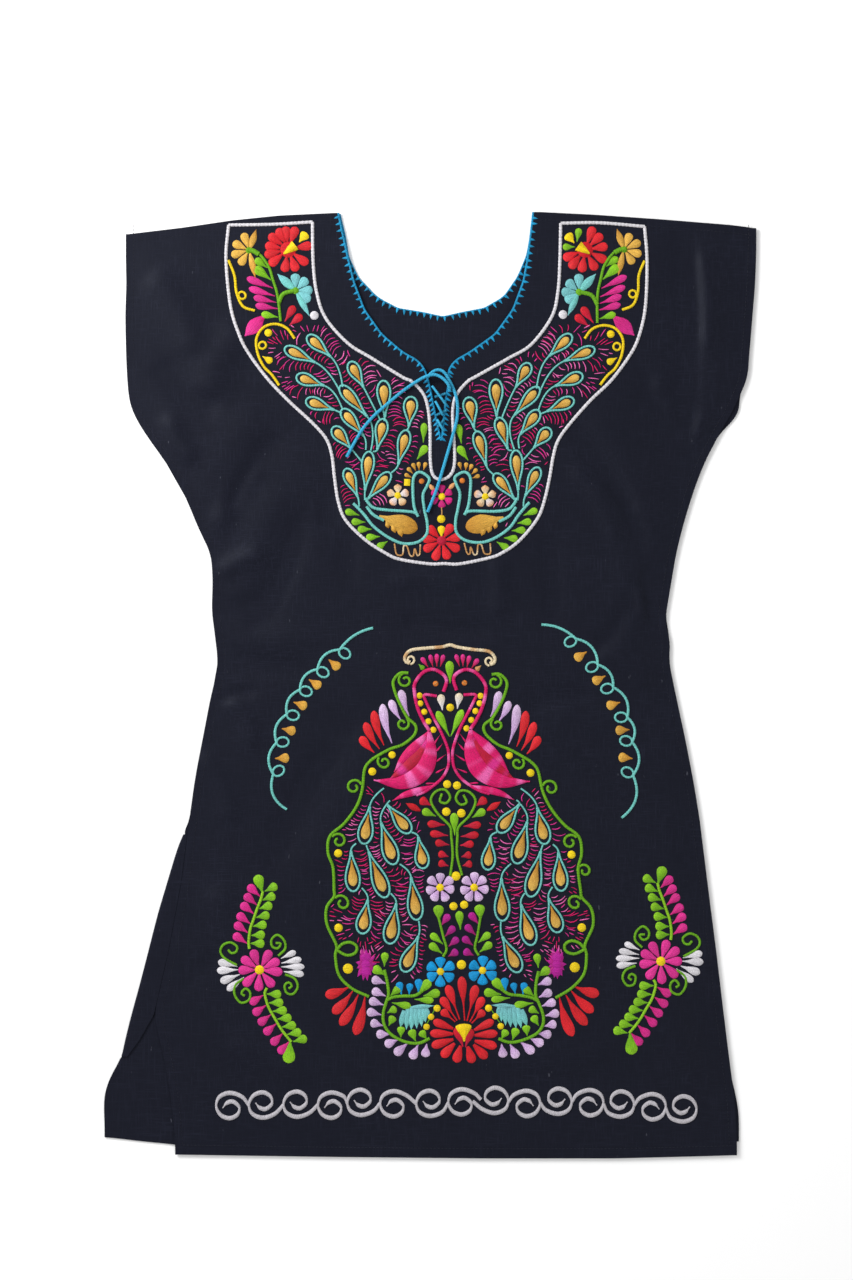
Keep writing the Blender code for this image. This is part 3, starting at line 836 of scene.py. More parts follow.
TICK_HALF, TICK_START, TICK_GAP = 0.50, 2.2, 1.0
TICK_BEND = 0.15                         # sideways at its middle, as a share of its length
TICK_STEP, TICK_RUN = 3.9, 5             # along a line, and how many in a row share a dye
TICK_REACHES = (12.0, 10.0, 8.2, 6.6, 5.2, 4.0)
FILL_STEP, FILL_REACH = 3.8, 24          # between ticks that fill a gap, and from the nearest line


def lay_tick(work, ground, root, out, dye, bend=0.0, reaches=TICK_REACHES):
    """One short stitch from its root outwards, as long as the free ground lets it be."""
    for reach in reaches:
        reach *= work.rng.uniform(0.92, 1.04)
        if ground.free(root, root + out * reach):
            tip = root + out * reach
            work.blade(root, tip, TICK_HALF * work.rng.uniform(0.88, 1.12), dye, belly=0.55,
                       start=0.55, crest=0.7, rows=6, bend=work.rng.normal(bend, 0.03))
            ground.take([root, (root + tip) / 2, tip], TICK_HALF + TICK_GAP)
            return


def ticks_beside(work, ground, line, ways, dyes, lean):
    """Rows of ticks that stand off a line, on its right for way 1 and its left for way -1."""
    line = evenly(np.asarray(line), TICK_STEP)
    run, right = directions(line)
    first = work.rng.integers(len(dyes))
    for k in range(len(line)):
        for way in ways:
            out = right[k] * way * math.cos(lean) + run[k] * math.sin(lean)
            dye = dyes[(first + way + k // TICK_RUN) % len(dyes)]
            lay_tick(work, ground, line[k] + out * TICK_START, out, dye, way * TICK_BEND)


def ticks_between(work, ground, lines, dyes):
    """Fill what is still free with ticks that point away from the nearest line."""
    near = np.concatenate([evenly(np.asarray(line), 2.0) for line in lines])
    xs, ys = (np.arange(low, low + count * GROUND_CELL, FILL_STEP)
              for low, count in zip(ground.low, ground.shape))
    for k, y in enumerate(ys):
        for x in xs + (k % 2) * FILL_STEP / 2:
            here = np.array([x, y])
            i, j = ground.cells(here)
            if ground.taken[i, j]:
                continue
            away = here - near
            distance = np.hypot(*away.T)
            nearest = int(distance.argmin())
            out = away[nearest] / max(distance[nearest], 0.5)
            if distance[nearest] < FILL_REACH:
                lay_tick(work, ground, here, out, dyes[(k // 2) % len(dyes)],
                         reaches=TICK_REACHES[1:])


# The front's centre line leans: the two halves of each design mirror about it

Across = namedtuple("Across", "y x")
CENTRE_LINE = table_of(
    Across, (-440, 35.0), (-318, 30.4), (-262, 29.5), (-186, 25.0), (-127, 22.0), (-92, 19.9),
    (-55, 19.3), (-20, 18.0), (10, 17.8), (37, 18.5), (133, 11.0), (216, 11.0), (422, 5.5))


WAVER = 0.7                              # by which the hand strays from a mirrored place


class Half:
    """One half of a design. Its own X runs outwards from the centre line."""

    def __init__(self, sign):
        self.sign = sign

    def at(self, points):
        """Plan places of points given as distance out and level. The hand wavers a little."""
        points = np.array(points, float)
        out, y = points[..., 0], points[..., 1]
        waver_out = WAVER * np.sin(y / 17.0 + 2.1 * self.sign)
        waver_y = WAVER * np.sin(out / 13.0 + 1.3 * self.sign + y / 31.0)
        centre = np.interp(y, *zip(*CENTRE_LINE))
        return np.stack([centre + self.sign * (out + waver_out), y + waver_y], -1)


HALVES = (Half(-1), Half(1))


# Lace

LACE, LACE_PULLED = 0.0030, 0.0023       # diameters of its free ends and of its crossings
LACE_CLEAR = 0.0008                      # under it, for the stitches that it lies on
Stop = namedtuple("Stop", "x y lift")
Crossing = namedtuple("Crossing", "x0 y0 x1 y1 bow")
LACE_LEFT_ROUTE = table_of(
    Stop, (18.0, 268.9, 0.0), (17.8, 272.4, 2.8), (16.4, 275.9, 4.0), (12.9, 280.1, 3.8),
    (8.3, 283.2, 3.6), (3.7, 284.5, 3.8), (-0.9, 283.7, 4.1), (-7.4, 281.2, 2.8), (-17.5, 275.1, 0.2),
    (-27.6, 267.7, 0.0), (-39.6, 257.6, 0.0), (-51.5, 247.0, 0.0), (-60.7, 236.4, 0.0),
    (-68.5, 224.0, 0.0), (-76.4, 209.3, 0.0))
LACE_RIGHT_ROUTE = table_of(
    Stop, (-2.8, 282.0, 0.0), (0.0, 285.2, 0.0), (4.1, 288.3, 0.0), (9.2, 289.1, 0.0),
    (13.8, 286.1, 0.0), (17.4, 280.1, 0.0), (20.8, 273.4, 0.0), (23.6, 266.2, 0.0), (25.1, 258.5, 0.0),
    (25.3, 250.7, 0.0), (24.4, 242.4, 0.0), (21.4, 230.9, 0.0), (17.5, 217.6, 0.0), (12.4, 200.1, 0.0),
    (6.0, 179.4, 0.0), (-2.2, 158.7, 0.0))
CROSSINGS = {
    "lacing_under_1": Crossing(14.4, 267.6, 4.2, 264.4, -0.4),
    "lacing_under_2": Crossing(15.2, 252.2, 5.6, 247.6, -0.4),
    "lacing_under_3": Crossing(12.8, 243.4, 7.0, 236.6, -0.4),
    "lacing_over_1": Crossing(1.8, 274.6, 15.5, 256.0, 3.1),
    "lacing_over_2": Crossing(4.8, 260.6, 11.9, 247.4, 3.1),
    "lacing_over_3": Crossing(6.4, 243.9, 12.9, 232.6, 3.1),
}
CROSSING_ROUNDNESS = 0.6                 # below 1 the bow is flat in the middle and steep at its ends
CROSSING_POINTS, UNDER_SHADE = 19, 0.62   # points of each, and the shade of those below
PLIES, PLY_SIDES, PLY_PITCH = 2, 12, 5.2     # of a cord, its sides, and the rise of one turn


def add_cord(work, path, lift, radius, dye, depth=0.10):
    """A round twisted cord whose middle is lift above the ground, all in millimetres."""
    right = directions(path)[1]
    walked = walk(path[:, :2])
    turn = 2 * math.pi * np.arange(PLY_SIDES) / PLY_SIDES
    twist = turn[None, :] - 2 * math.pi * walked[:, None] / PLY_PITCH
    ridge = np.abs(np.cos(PLIES * twist / 2))
    reach = radius * (1.0 - depth + depth * ridge)
    plan = path[:, None, :2] + right[:, None, :] * (reach * np.cos(turn))[:, :, None]
    height = np.reshape(lift, (-1, 1)) + reach * np.sin(turn)
    # Painted shade: the dye is darker in the grooves between the plies and a little lighter on their crowns
    dyes = (np.asarray(dye)[None, None, :] * (0.70 + 0.36 * ridge)[:, :, None]).reshape(-1, 3)
    strands = np.stack([np.broadcast_to(walked[:, None], twist.shape), twist * radius * 1.5], -1)
    rows = len(path)
    at = np.arange(rows * PLY_SIDES).reshape(rows, PLY_SIDES)
    near, far = at[:-1], at[1:]
    skin = np.stack([near, far, np.roll(far, -1, 1), np.roll(near, -1, 1)], -1).reshape(-1, 4)
    faces = skin.tolist() + [at[0].tolist(), at[-1, ::-1].tolist()]
    work.add(plan.reshape(-1, 2), height.reshape(-1), dyes, strands.reshape(-1, 2), faces)


def free_lace(name, node, route, colour):
    """One free end of the lace, lying on the cloth along its route."""
    path = curve([(stop.x, stop.y, stop.lift) for stop in route], step=1.0)
    lift = path[:, 2] + LACE_CLEAR / MM + LACE / MM / 2
    work = Work(seed=3)
    middle = Made.relief.at(path[:, :2] * MM)
    level = soften(middle, 5) - middle
    add_cord(work, path, lift + level / MM, LACE / MM / 2, colour)
    piece = work.finish(name, Made.lace, "lace")
    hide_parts(node)


def lacing(colour):
    """The crossings that pull the slit together."""
    work = Work(seed=4)
    share = np.linspace(0.0, 1.0, CROSSING_POINTS)
    for name, crossing in CROSSINGS.items():
        start, end = np.array([[crossing.x0, crossing.y0], [crossing.x1, crossing.y1]])
        path = start + share[:, None] * (end - start)
        bow = crossing.bow * np.sin(math.pi * share) ** CROSSING_ROUNDNESS
        ground = Made.relief.at(path * MM)
        level = (ground[0] + (ground[-1] - ground[0]) * share - ground) / MM
        shade = UNDER_SHADE if "under" in name else 1.0
        add_cord(work, path, bow + level + LACE_CLEAR / MM + LACE_PULLED / MM / 2,
                 LACE_PULLED / MM / 2, np.array(colour) * shade)
    piece = work.finish("lacing", Made.lace, "lace")
    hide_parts(*CROSSINGS)


# Edging of the neck

FRONT_CORD, BACK_CORD = (1.05, -0.55), (0.72, -0.44)     # radius, and height of the cord's middle
EDGE_STEP, EDGE_REACH, EDGE_HALF = 6.5, 4.8, 1.35
SLIT_TOP, SLIT_STEP, SLIT_REACH = 289, 4.5, 5.0
SLIT_FALL = np.array([0.0, -0.55])       # added to the direction of the spikes beside the slit


def neck_path(outline):
    """The edge of a panel's neck in millimetres, from its left end round to its right end."""
    levels, opened = outline.levels[outline.open], int(outline.open.sum())
    left, right = outline.neck_left[:opened], outline.neck_right[:opened]
    tip = [[outline.neck_left[opened], outline.levels[opened]]]
    sides = [np.column_stack([edge, outline.settle(edge, levels)]) for edge in (left, right)]
    return np.concatenate([sides[0], tip, sides[1][::-1]]) / MM


def edging(work, outline, colour, radius, middle):
    """Blanket stitches: a cord on the edge of the cloth, and a spike into it at each stitch."""
    path = evenly(neck_path(outline), 0.9)
    path = np.column_stack([soften(column, 3) for column in path.T])
    add_cord(work, path, middle, radius, np.array(colour) * 0.95, depth=0.14)
    run, right = directions(path)
    walked = walk(path)
    station = EDGE_STEP / 2
    while station < walked[-1]:
        k = int(np.searchsorted(walked, station))
        slit = path[k, 1] < SLIT_TOP
        dye = np.array(colour) * work.rng.uniform(0.82, 1.12)
        out = right[k] + run[k] * work.rng.normal(0.0, 0.10) + SLIT_FALL * slit
        out = unit(out)
        reach = (SLIT_REACH if slit else EDGE_REACH) * work.rng.uniform(0.85, 1.12)
        work.blade(path[k] - out * 0.5, path[k] + out * reach, EDGE_HALF, dye, belly=0.20, start=0.9,
                   pointed=True, crest=0.8, rows=7)
        station += (SLIT_STEP if slit else EDGE_STEP) * work.rng.uniform(0.92, 1.08)


# Yoke: half distances from the centre line, and levels

YOKE_OUTER = [(191, 422), (193, 391), (191, 349), (184.5, 324), (176, 306), (158, 281), (138.5, 261),
              (118, 240), (106.5, 225), (101.5, 210), (98.5, 191), (94.5, 169), (88, 152), (71, 133),
              (53.5, 121), (41, 116), (14, 111.5), (0, 111)]
YOKE_INNER = [(114, 425), (113, 388), (111, 360.5), (104, 337.5), (84, 313.5), (62.5, 300),
              (34, 283.5), (25.5, 279), (15.5, 267.5), (11.7, 254), (11, 233.5), (11, 206),
              (7.8, 193), (0, 189.5)]
YOKE_FIELD_TOP = 333
Feather = namedtuple("Feather", "head_x head_y tail_x tail_y half join_x join_y")
YOKE_FEATHERS = table_of(
    Feather, (121, 321, 100, 302, 5.3, 89, 273), (142, 309, 114, 297, 5.2, 92, 270),
    (82, 296, 69.8, 273.4, 5.4, 56.5, 245), (131, 284, 106, 275, 5.4, 90, 252),
    (51.4, 280, 51.6, 246.4, 6.1, 52.5, 243), (91, 274, 67.8, 247, 5.3, 65.9, 216),
    (123, 262, 98, 252, 5.4, 91, 249), (26.2, 264.6, 30.2, 237, 6.2, 32.4, 233.5),
    (90.6, 252.4, 72.3, 229.5, 5.4, 70.6, 216.7), (53, 245, 59.9, 216.7, 5.5, 64, 215),
    (99.8, 236, 84, 217.4, 5.6, 74, 206), (32.4, 233.5, 40.3, 201.8, 5.5, 46.4, 194.4),
    (67.3, 215, 70, 179, 5.6, 70, 170), (88.2, 199, 76.7, 173.5, 5.2, 75.4, 164),
    (47.7, 194.4, 67.3, 170.8, 5.2, 69, 168))


def feather_sides(half, spec):
    """Rim of a feather's eye as two lines from its tail to its head, and its spine."""
    tail, head = half.at([(spec.tail_x, spec.tail_y), (spec.head_x, spec.head_y)])
    share = np.sin(math.pi / 2 * np.linspace(0.0, 1.0, 15))
    run = head - tail
    side = unit(left_of(run))
    spine = tail + run * share[:, None]
    width = (spec.half * swell(share, 0.70, 0.05, False))[:, None]
    return spine + side * width, spine - side * width, spine


def feathers(work, half, specs, threads, ground, lines):
    """Eyes of feathers, each a gold drop in an outline, whose stems run on to the next ones."""
    for spec in specs:
        left, right, spine = feather_sides(half, spec)
        work.rope(evenly(np.concatenate([left, right[::-1]]), 1.0), 1.0, threads.turquoise)
        tail, head = spine[0], spine[-1]
        work.drop(tail + 0.22 * (head - tail), head - 0.13 * (head - tail), spec.half * 0.60,
                  threads.honey, threads.straw)
        join = half.at((spec.join_x, spec.join_y))
        back = unit(tail - head)
        stem = arc(tail, tail + back * 0.4 * np.hypot(*(join - tail)), join)
        work.rope(stem, 0.85, threads.turquoise)
        for k in range(len(spine)):
            ground.take([spine[k], spine[k] + 0.1], np.hypot(*(left[k] - spine[k])) + 1.7)
        ground.take(stem, 1.7)
        lines.append((left, (-1,), 0.10))
        lines.append((right, (1,), 0.10))
        lines.append((stem, (-1, 1), -0.45))


def ticks(work, ground, lines, threads):
    dyes = [threads.hot_pink, threads.rose, threads.pink]
    for line, ways, lean in lines:
        ticks_beside(work, ground, line, ways, dyes, lean)
    ticks_between(work, ground, [line for line, ways, lean in lines], dyes)


def yoke_half_edge(half, top=500):
    """Closed outline of one half of the yoke, up to a level."""
    outer, inner = curve(half.at(YOKE_OUTER), 2.5), curve(half.at(YOKE_INNER), 2.5)
    edge = np.concatenate([outer, inner[::-1]])
    return edge[edge[:, 1] < top]


def yoke_outline(work, threads):
    left, right = HALVES
    lines = [np.concatenate([left.at(line), right.at(line)[-2::-1]]) for line in (YOKE_OUTER, YOKE_INNER)]
    lines += [half.at([YOKE_OUTER[0], (150, 424), YOKE_INNER[0]]) for half in HALVES]
    for line in lines:
        work.rope(curve(line, 1.0), 1.55, threads.white, crest=1.3, pitch=3.4)


Spot = namedtuple("Spot", "x y radius")
Blade = namedtuple("Blade", "base_x base_y tip_x tip_y half")
Curl = namedtuple("Curl", "x y radius start turns inner")


def blades(work, half, table, dye, tip_dye=None, style="drop", ground=None, bend=0.0, **shape):
    """Petals, leaves or drops of a table. The style is the name of one of Work's stitches."""
    for item in table:
        base, tip = half.at([(item.base_x, item.base_y), (item.tip_x, item.tip_y)])
        getattr(work, style)(base, tip, item.half, dye, tip_dye, bend=-half.sign * bend, **shape)
        if ground:
            ground.take([base, tip], item.half + 1.2)


def facing(half, angles):
    """Angles in degrees from the outward side, as angles from +X."""
    return [angle if half.sign > 0 else 180 - angle for angle in angles]


def dots(work, half, table, dye, ground=None):
    for item in table:
        centre = half.at((item.x, item.y))
        work.dot(centre, item.radius, dye)
        if ground:
            ground.take([centre, centre + 0.1], item.radius + 1.2)


def vines(work, half, table, dye, width, ground=None):
    for line in table:
        path = curve(half.at(line))
        work.rope(path, width, dye)
        if ground:
            ground.take(path, width + 1.1)


def curls(work, half, table, dye, width, ground=None):
    for item in table:
        path = spiral((item.x, item.y), item.radius, item.start, item.turns, item.inner)
        path = half.at(evenly(path, 1.1))
        work.rope(path, width, dye)
        if ground:
            ground.take(path, width + 1.2)


YOKE_BIRD_LINES = [
    [(13.3, 183), (16.7, 174.8), (15.3, 161.3), (13.3, 150.5), (14, 139.7), (22, 132.3), (35.6, 130.3),
     (49, 135), (62.6, 145), (70.6, 156), (77.4, 164), (80.8, 167.4)],
    [(13.3, 183), (11.3, 189.7), (16.7, 194.4), (22, 195), (25.8, 189.7), (26, 177.5), (24.8, 164),
     (21.4, 155.3)],
    [(22, 157.3), (27.5, 159.3), (49, 160), (61.2, 162), (66.6, 166.7), (69.3, 172)],
    [(68.6, 164), (62.6, 156), (53, 150.5)],
]
YOKE_BIRD_LEGS = [(44.3, 130), (43.5, 121), (40, 119.5), (37.5, 121), (36, 128), (33, 128), (31, 120),
                  (28, 119.5), (26, 126), (24.5, 120), (22, 121), (20.5, 130)]
YOKE_BIRD_WING = [Blade(57.2, 154.6, 22.5, 143.8, 8.8)]
YOKE_BIRD_QUILLS = table_of(
    Blade, (51, 151, 49, 143.5, 2.2), (46, 149, 43, 139.5, 2.6), (40, 147, 37, 136.5, 2.8))
YOKE_CROWN = [(15, 204.5), (21.8, 204.5), (27.2, 203.2), (31.8, 199), (34.2, 193)]
YOKE_BIRD_COVER = [([(45, 147), (25, 144)], 12.0), ([(20, 185), (20, 160)], 8.0),
                   ([(39.9, 173.5), (39.9, 174)], 11.5), ([(31.5, 185), (31.5, 186)], 3.5)]


def yoke_bird(work, half, threads, ground):
    """A bird in outline, with a gold wing, a crown of gold stitches, a flower and short legs."""
    put = half.at
    for line in YOKE_BIRD_LINES:
        path = curve(put(line))
        work.rope(path, 1.45, threads.turquoise)
        ground.take(path, 2.8)
    for line, reach in YOKE_BIRD_COVER:
        ground.take(put(line), reach)
    for table, pointed in ((YOKE_BIRD_WING, False), (YOKE_BIRD_QUILLS, True)):
        blades(work, half, table, threads.gold, threads.honey, style="blade", start=0.12,
               pointed=pointed, crest=1.4, rows=13)
    work.dot(put((18.3, 187.3)), 2.7, threads.orange)
    work.leaf(*put([(11.6, 185), (5.5, 178.5)]), 2.2, threads.apricot)
    crown = np.array([20.0, 187.0])
    for tip in YOKE_CROWN:
        out = unit(tip - crown)
        work.drop(*put([tip - out * 7.4, tip]), 1.8, threads.honey, threads.gold)
        ground.take(put([tip - out * 7.4, tip]), 3.0)
    legs = curve(put(YOKE_BIRD_LEGS), 0.8)
    work.rope(legs, 0.8, patches(work, len(legs), threads.tan, threads.cream, 0.8))
    centre = put((39.9, 173.5))
    for k in range(5):
        angle = math.radians(72 * k + 90)
        out = np.array([half.sign * math.cos(angle), math.sin(angle)])
        work.blade(centre + out * 2.5, centre + out * 10.5, 3.9, threads.white if k % 2 else threads.cream,
                   threads.apricot, belly=0.66, start=0.3, pointed=k in (0, 4))
    work.dot(centre, 3.4, threads.yellow, crest=1.6)
    if half.sign < 0:
        work.ribbon(put([(31.5, 182.6), (31.5, 185.6), (31.5, 188.6)]), 3.0, 1.0, threads.yellow)


YOKE_CENTRE_PETALS = (135, 60, 15, -28, -70, -112, -150, 175)


def yoke_centre(work, threads):
    """Flowers below the slit, between the two birds."""
    middle = Half(1)
    work.rope(curve(middle.at([(0, 164), (0.6, 158), (0, 153)])), 0.6, threads.tan)
    work.flower(middle.at((0, 172.8)), 10.4, 6, threads.magenta, threads.yellow, hub=0.34)
    work.flower(middle.at((0, 133)), 18.5, YOKE_CENTRE_PETALS, threads.red, threads.crimson, hub=0.26,
                tip_dye=threads.scarlet, half=4.3)
    work.drop(*middle.at([(0, 135.7), (0, 146.5)]), 3.2, threads.yellow)
    work.dot(middle.at((0, 152.6)), 4.0, threads.yellow)


YOKE_MAGENTA = table_of(
    Blade, (151, 364.5, 174.3, 374.5, 3.2), (149.5, 357, 172.9, 365.2, 3.1),
    (149, 351, 169.2, 356.9, 3.1), (147.5, 345, 168, 349.3, 3.1))
YOKE_GREEN_LEAVES = table_of(
    Blade, (155, 383.7, 166.2, 392, 3.3), (152.2, 372.2, 167.1, 384.4, 4.0),
    (147.8, 337.1, 163, 341, 3.1))
YOKE_VINES = [
    [(173, 400), (163, 396.8), (154.1, 385.2), (150.6, 373), (147.2, 357.7), (145.6, 333.3)],
]
YOKE_YELLOW_VINES = [
    [(190.7, 389.7), (185.6, 376), (184.5, 360.7), (179.5, 348.6), (169, 344.3)],
    [(133.1, 318), (140.4, 327.2), (151, 331), (161.8, 328), (168.1, 318), (166.9, 304.3),
     (161.2, 292), (153.8, 284.5), (147.2, 275.3)],
]
YOKE_RINGS = table_of(Curl, (179.6, 358.4, 3.3, 0.1, 1.0, 1.0), (162.6, 311.5, 3.3, 0.1, 1.0, 1.0))
YOKE_RED_DROPS = table_of(Blade, (142, 333, 132.3, 347.5, 3.5), (138, 329.5, 125.8, 339.6, 3.5))
YOKE_SHOOTS = table_of(Blade, (128.5, 407.5, 130.8, 419.8, 3.0), (126.6, 403, 115.5, 403, 3.0))
YOKE_RED_PETALS = {-1: (169, 142, 117, 95, 72, 11, -35, -68, -100, -138, -167),
                   1: (70, 40, 8, -27, -64, -98, -130, -158)}
YOKE_GOLD_PETALS, YOKE_BLUE_PETALS = (26, 70, -15, -58), (90, 136, 179, 217)
YOKE_GOLD_TIPS = table_of(Blade, (171, 401, 165.6, 418.5, 3.4), (171, 397, 166.6, 375, 3.2))
YOKE_BLUE_TIPS = table_of(Blade, (131, 362, 146, 377.5, 4.2), (130, 361, 119, 339, 3.2))
YOKE_SLIT_DROPS = table_of(Blade, (17.7, 222, 16, 240, 3.0), (23.4, 206.6, 14.6, 219.4, 3.4))
YOKE_RIM_LEAVES = table_of(
    Blade, (75.4, 156, 88.2, 160.7, 3.0), (70, 149.2, 82.8, 150.5, 3.1), (64.6, 142.4, 77.4, 143, 3.1),
    (57.2, 135.7, 70, 135, 3.1), (50.4, 131.7, 60.5, 125.6, 3.0))


def yoke_garden(work, half, threads, ground):
    """Flowers, leaves and vines from the shoulder down to the feathers."""
    put = half.at
    vines(work, half, YOKE_VINES, threads.green, 1.35)
    work.flower(put((172, 399.5)), 16.5, facing(half, YOKE_GOLD_PETALS), threads.gold, threads.green,
                hub=0.2, half=4.1)
    blades(work, half, YOKE_GOLD_TIPS, threads.gold, threads.honey, style="leaf")
    work.flower(put((136, 400)), 22.0, YOKE_RED_PETALS[half.sign], threads.red, threads.red, hub=0.36,
                tip_dye=threads.scarlet, half=4.5)
    work.ribbon(put([(140, 396), (134.6, 400), (129.6, 403.8)]), (0.8, 3.8, 5.2), 2.6, threads.yellow)
    work.drop(*put([(126, 406.5), (119.2, 415)]), 4.2, threads.yellow)
    if half.sign > 0:
        blades(work, half, YOKE_SHOOTS, threads.green, threads.lime)
    work.rope(curve(put([(173, 400), (168.6, 399.4), (163, 396.4)])), 2.3, threads.green)
    work.rope(curve(put([(146.8, 350), (142, 358.5), (132, 361.5)])), 2.0, threads.green)
    blades(work, half, YOKE_BLUE_TIPS, threads.turquoise, threads.pale_blue, style="leaf")
    work.flower(put((130.4, 361.5)), 16.0, facing(half, YOKE_BLUE_PETALS), threads.pale_blue,
                threads.green, hub=0.22, half=4.6)
    blades(work, half, YOKE_MAGENTA, threads.magenta, threads.rose)
    work.leaf(*put([(161.6, 338), (178.7, 321)]), 6.9, threads.magenta, threads.rose)
    blades(work, half, YOKE_GREEN_LEAVES, threads.green, threads.lime)
    blades(work, half, YOKE_RED_DROPS, threads.crimson, threads.red)
    work.dot(put((114.5, 339.7)), 4.3, threads.white)
    vines(work, half, YOKE_YELLOW_VINES, threads.yellow, 1.3, ground)
    curls(work, half, YOKE_RINGS, threads.yellow, 1.1, ground)
    dots(work, half, [Spot(157.3, 323, 3.8)], threads.yellow, ground)
    blades(work, half, [Blade(162.5, 301.3, 153.4, 296, 3.0)], threads.yellow, ground=ground)
    blades(work, half, YOKE_SLIT_DROPS, threads.green, threads.lime, ground=ground)
    blades(work, half, YOKE_RIM_LEAVES, threads.green, threads.lime, ground=ground)


# Skirt design: half distances from the centre line, and levels

SKIRT_VINES = [
    [(38.5, 10.5), (46, 10.5), (52, 4), (51.3, -4), (47, -15), (39, -29.7), (32, -36), (30.8, -41.3),
     (34.4, -47.6), (44, -55), (54.8, -59), (65.4, -64.5), (74, -70), (80, -78), (83, -96.5),
     (89, -112), (100.7, -127.5), (113.9, -138.8), (116.3, -154), (112.7, -168), (113.6, -188),
     (114.3, -195), (121.7, -205), (122, -220.4), (113.8, -238.7), (115, -248.6), (112.5, -265.5),
     (101.4, -278), (86, -286.6)],
    [(114.4, -244), (108.5, -237.5), (101, -235.6), (95.2, -239.2), (96.6, -245.2), (104.5, -247.4),
     (114, -243)],
]
SKIRT_CURLS = table_of(
    Curl, (41, 3.6, 7.0, 0.20, -1.1, 0.3), (43.2, -36, 6.4, 0.35, 1.1, 0.3),
    (61.5, -71.3, 6.4, 0.12, -1.1, 0.3), (90.5, -94, 7.4, 0.45, -1.1, 0.3),
    (106, -143.5, 7.2, 0.10, 1.1, 0.3), (107.2, -200.5, 7.4, 0.1, 1.1, 0.3))
SKIRT_YELLOW_DOTS = table_of(
    Spot, (54, -64.5, 3.6), (73, -80, 3.9), (107, -155, 4.0), (111.5, -223, 4.2), (104, -259.7, 5.0),
    (6.7, -117, 4.2), (5.1, -202.4, 4.0), (4.8, -91.5, 4.0), (24, -296.5, 3.5), (29.9, -304.2, 3.2),
    (34.2, -313.3, 3.2), (27.8, -10, 3.1), (27, -17, 3.1), (23.2, -24.4, 3.1), (19.4, -32.8, 3.1),
    (15, -40.4, 3.1))
SKIRT_MIDDLE_DROPS = table_of(
    Blade, (0, 1, 0, 21.5, 3.7), (0, -138, 0, -117, 3.6), (0, -225, 0, -208, 3.5))
SKIRT_MIDDLE_DOTS = table_of(Spot, (0, -21, 3.8), (0, -176, 4.5), (0, -256.3, 4.6))
SKIRT_STEMS = [
    [(5.7, -175), (2, -157), (2.5, -139), (3.7, -130), (14.2, -119), (20.5, -106.4), (15.8, -98),
     (7.2, -96.5), (2.7, -103.5), (6.6, -109), (12.2, -107), (10, -100)],
    [(19.3, -213), (15.5, -230), (12.7, -241.5), (15.9, -248.6)],
]
SKIRT_LILAC = table_of(
    Blade, (37, -29, 45.2, -5, 3.7), (44.5, -33, 54.4, -14, 3.4), (53.6, -54, 61.5, -17.5, 3.9))
SKIRT_RED = table_of(
    Blade, (61, -56, 69.6, -23.5, 3.8), (65.2, -59.4, 77.6, -34, 3.7), (70.2, -62.6, 82, -47, 3.7))
SKIRT_CROWN = table_of(
    Blade, (20.2, 15.7, 26.5, 24.7, 2.1), (15.9, 16.3, 18.6, 27.4, 2.0), (12.3, 16.8, 12.3, 28.4, 2.0),
    (9.1, 16.8, 5.9, 27.9, 2.0))
SKIRT_RED_LEAVES = table_of(
    Blade, (8.1, -129.2, 24.3, -127.5, 3.2), (5.4, -138.8, 22, -136.6, 3.2),
    (4.7, -147.2, 17.4, -145, 3.2), (5.8, -157.8, 15, -155, 3.2), (6.6, -166.2, 15.5, -163.4, 3.2),
    (20.6, -110.6, 30.5, -104.3, 3.8))
SKIRT_PURPLE = table_of(
    Blade, (17.2, -220.4, 9.4, -210, 3.2), (13.9, -230.3, 4.8, -221, 3.2),
    (10.8, -239.4, 1.7, -231.7, 3.2), (11.4, -248.6, 2.3, -243.7, 3.4))
SKIRT_FANS = table_of(
    Blade, (103, -276.6, 126, -284.5, 4.5), (100.5, -280.5, 120, -300.7, 4.4),
    (95.5, -284, 113.5, -312, 4.5), (89.5, -286, 100, -321.6, 4.7))
SKIRT_RIM_DROPS = table_of(
    Blade, (70, -274.7, 82.6, -270, 3.8), (70.6, -286.3, 82.8, -280.5, 3.8),
    (73, -294.4, 86, -289.7, 3.8), (75.5, -303.4, 88.6, -300, 3.8), (74, -313.3, 85.6, -310.2, 3.8),
    (67.4, -320.3, 80.4, -321, 3.9), (60.2, -324.8, 72.6, -330.4, 3.9),
    (51.2, -327.7, 63.6, -338.5, 4.0), (41.9, -329.5, 48.3, -342.6, 4.0),
    (34.2, -329.1, 35.6, -341.5, 3.9))
SKIRT_GREEN_DROPS = table_of(
    Blade, (0.5, -47, 11.3, -23.3, 3.4), (19, -217, 19, -202, 4.5), (15.7, -237.3, 27, -228.2, 3.2),
    (16.8, -245.8, 28.2, -237.3, 3.4), (16.3, -121, 28.7, -114.8, 3.5))
SKIRT_LOW_STEMS = [
    [(70.7, -262), (68.4, -273.7), (67.9, -284.5), (70.3, -291.3), (73.2, -300), (73.9, -307.5),
     (72, -314.2), (67, -320.3), (59, -324.8), (49.7, -327.7), (40.4, -328), (31.5, -324.3)],
    [(70, -290), (63.9, -287), (54.4, -285.5), (43.6, -284.5), (35, -279)],
]
SKIRT_LOW_LEAVES = table_of(
    Blade, (70.6, -259, 69.3, -246, 3.3), (69.6, -267, 81, -259.6, 4.0), (66.6, -286, 57, -277.8, 3.4),
    (41, -284, 29, -270.4, 4.0), (36, -284.8, 20.5, -281.8, 3.9), (44.3, -288, 26.8, -289, 3.1),
    (65.3, -292, 47.8, -294.7, 3.2), (70, -301.4, 61.3, -296.7, 3.4), (69, -313, 64, -304, 3.5),
    (58, -323, 57.4, -313, 3.5), (44.3, -326.4, 48.7, -315.6, 3.6), (34, -325, 39.7, -317, 3.4))
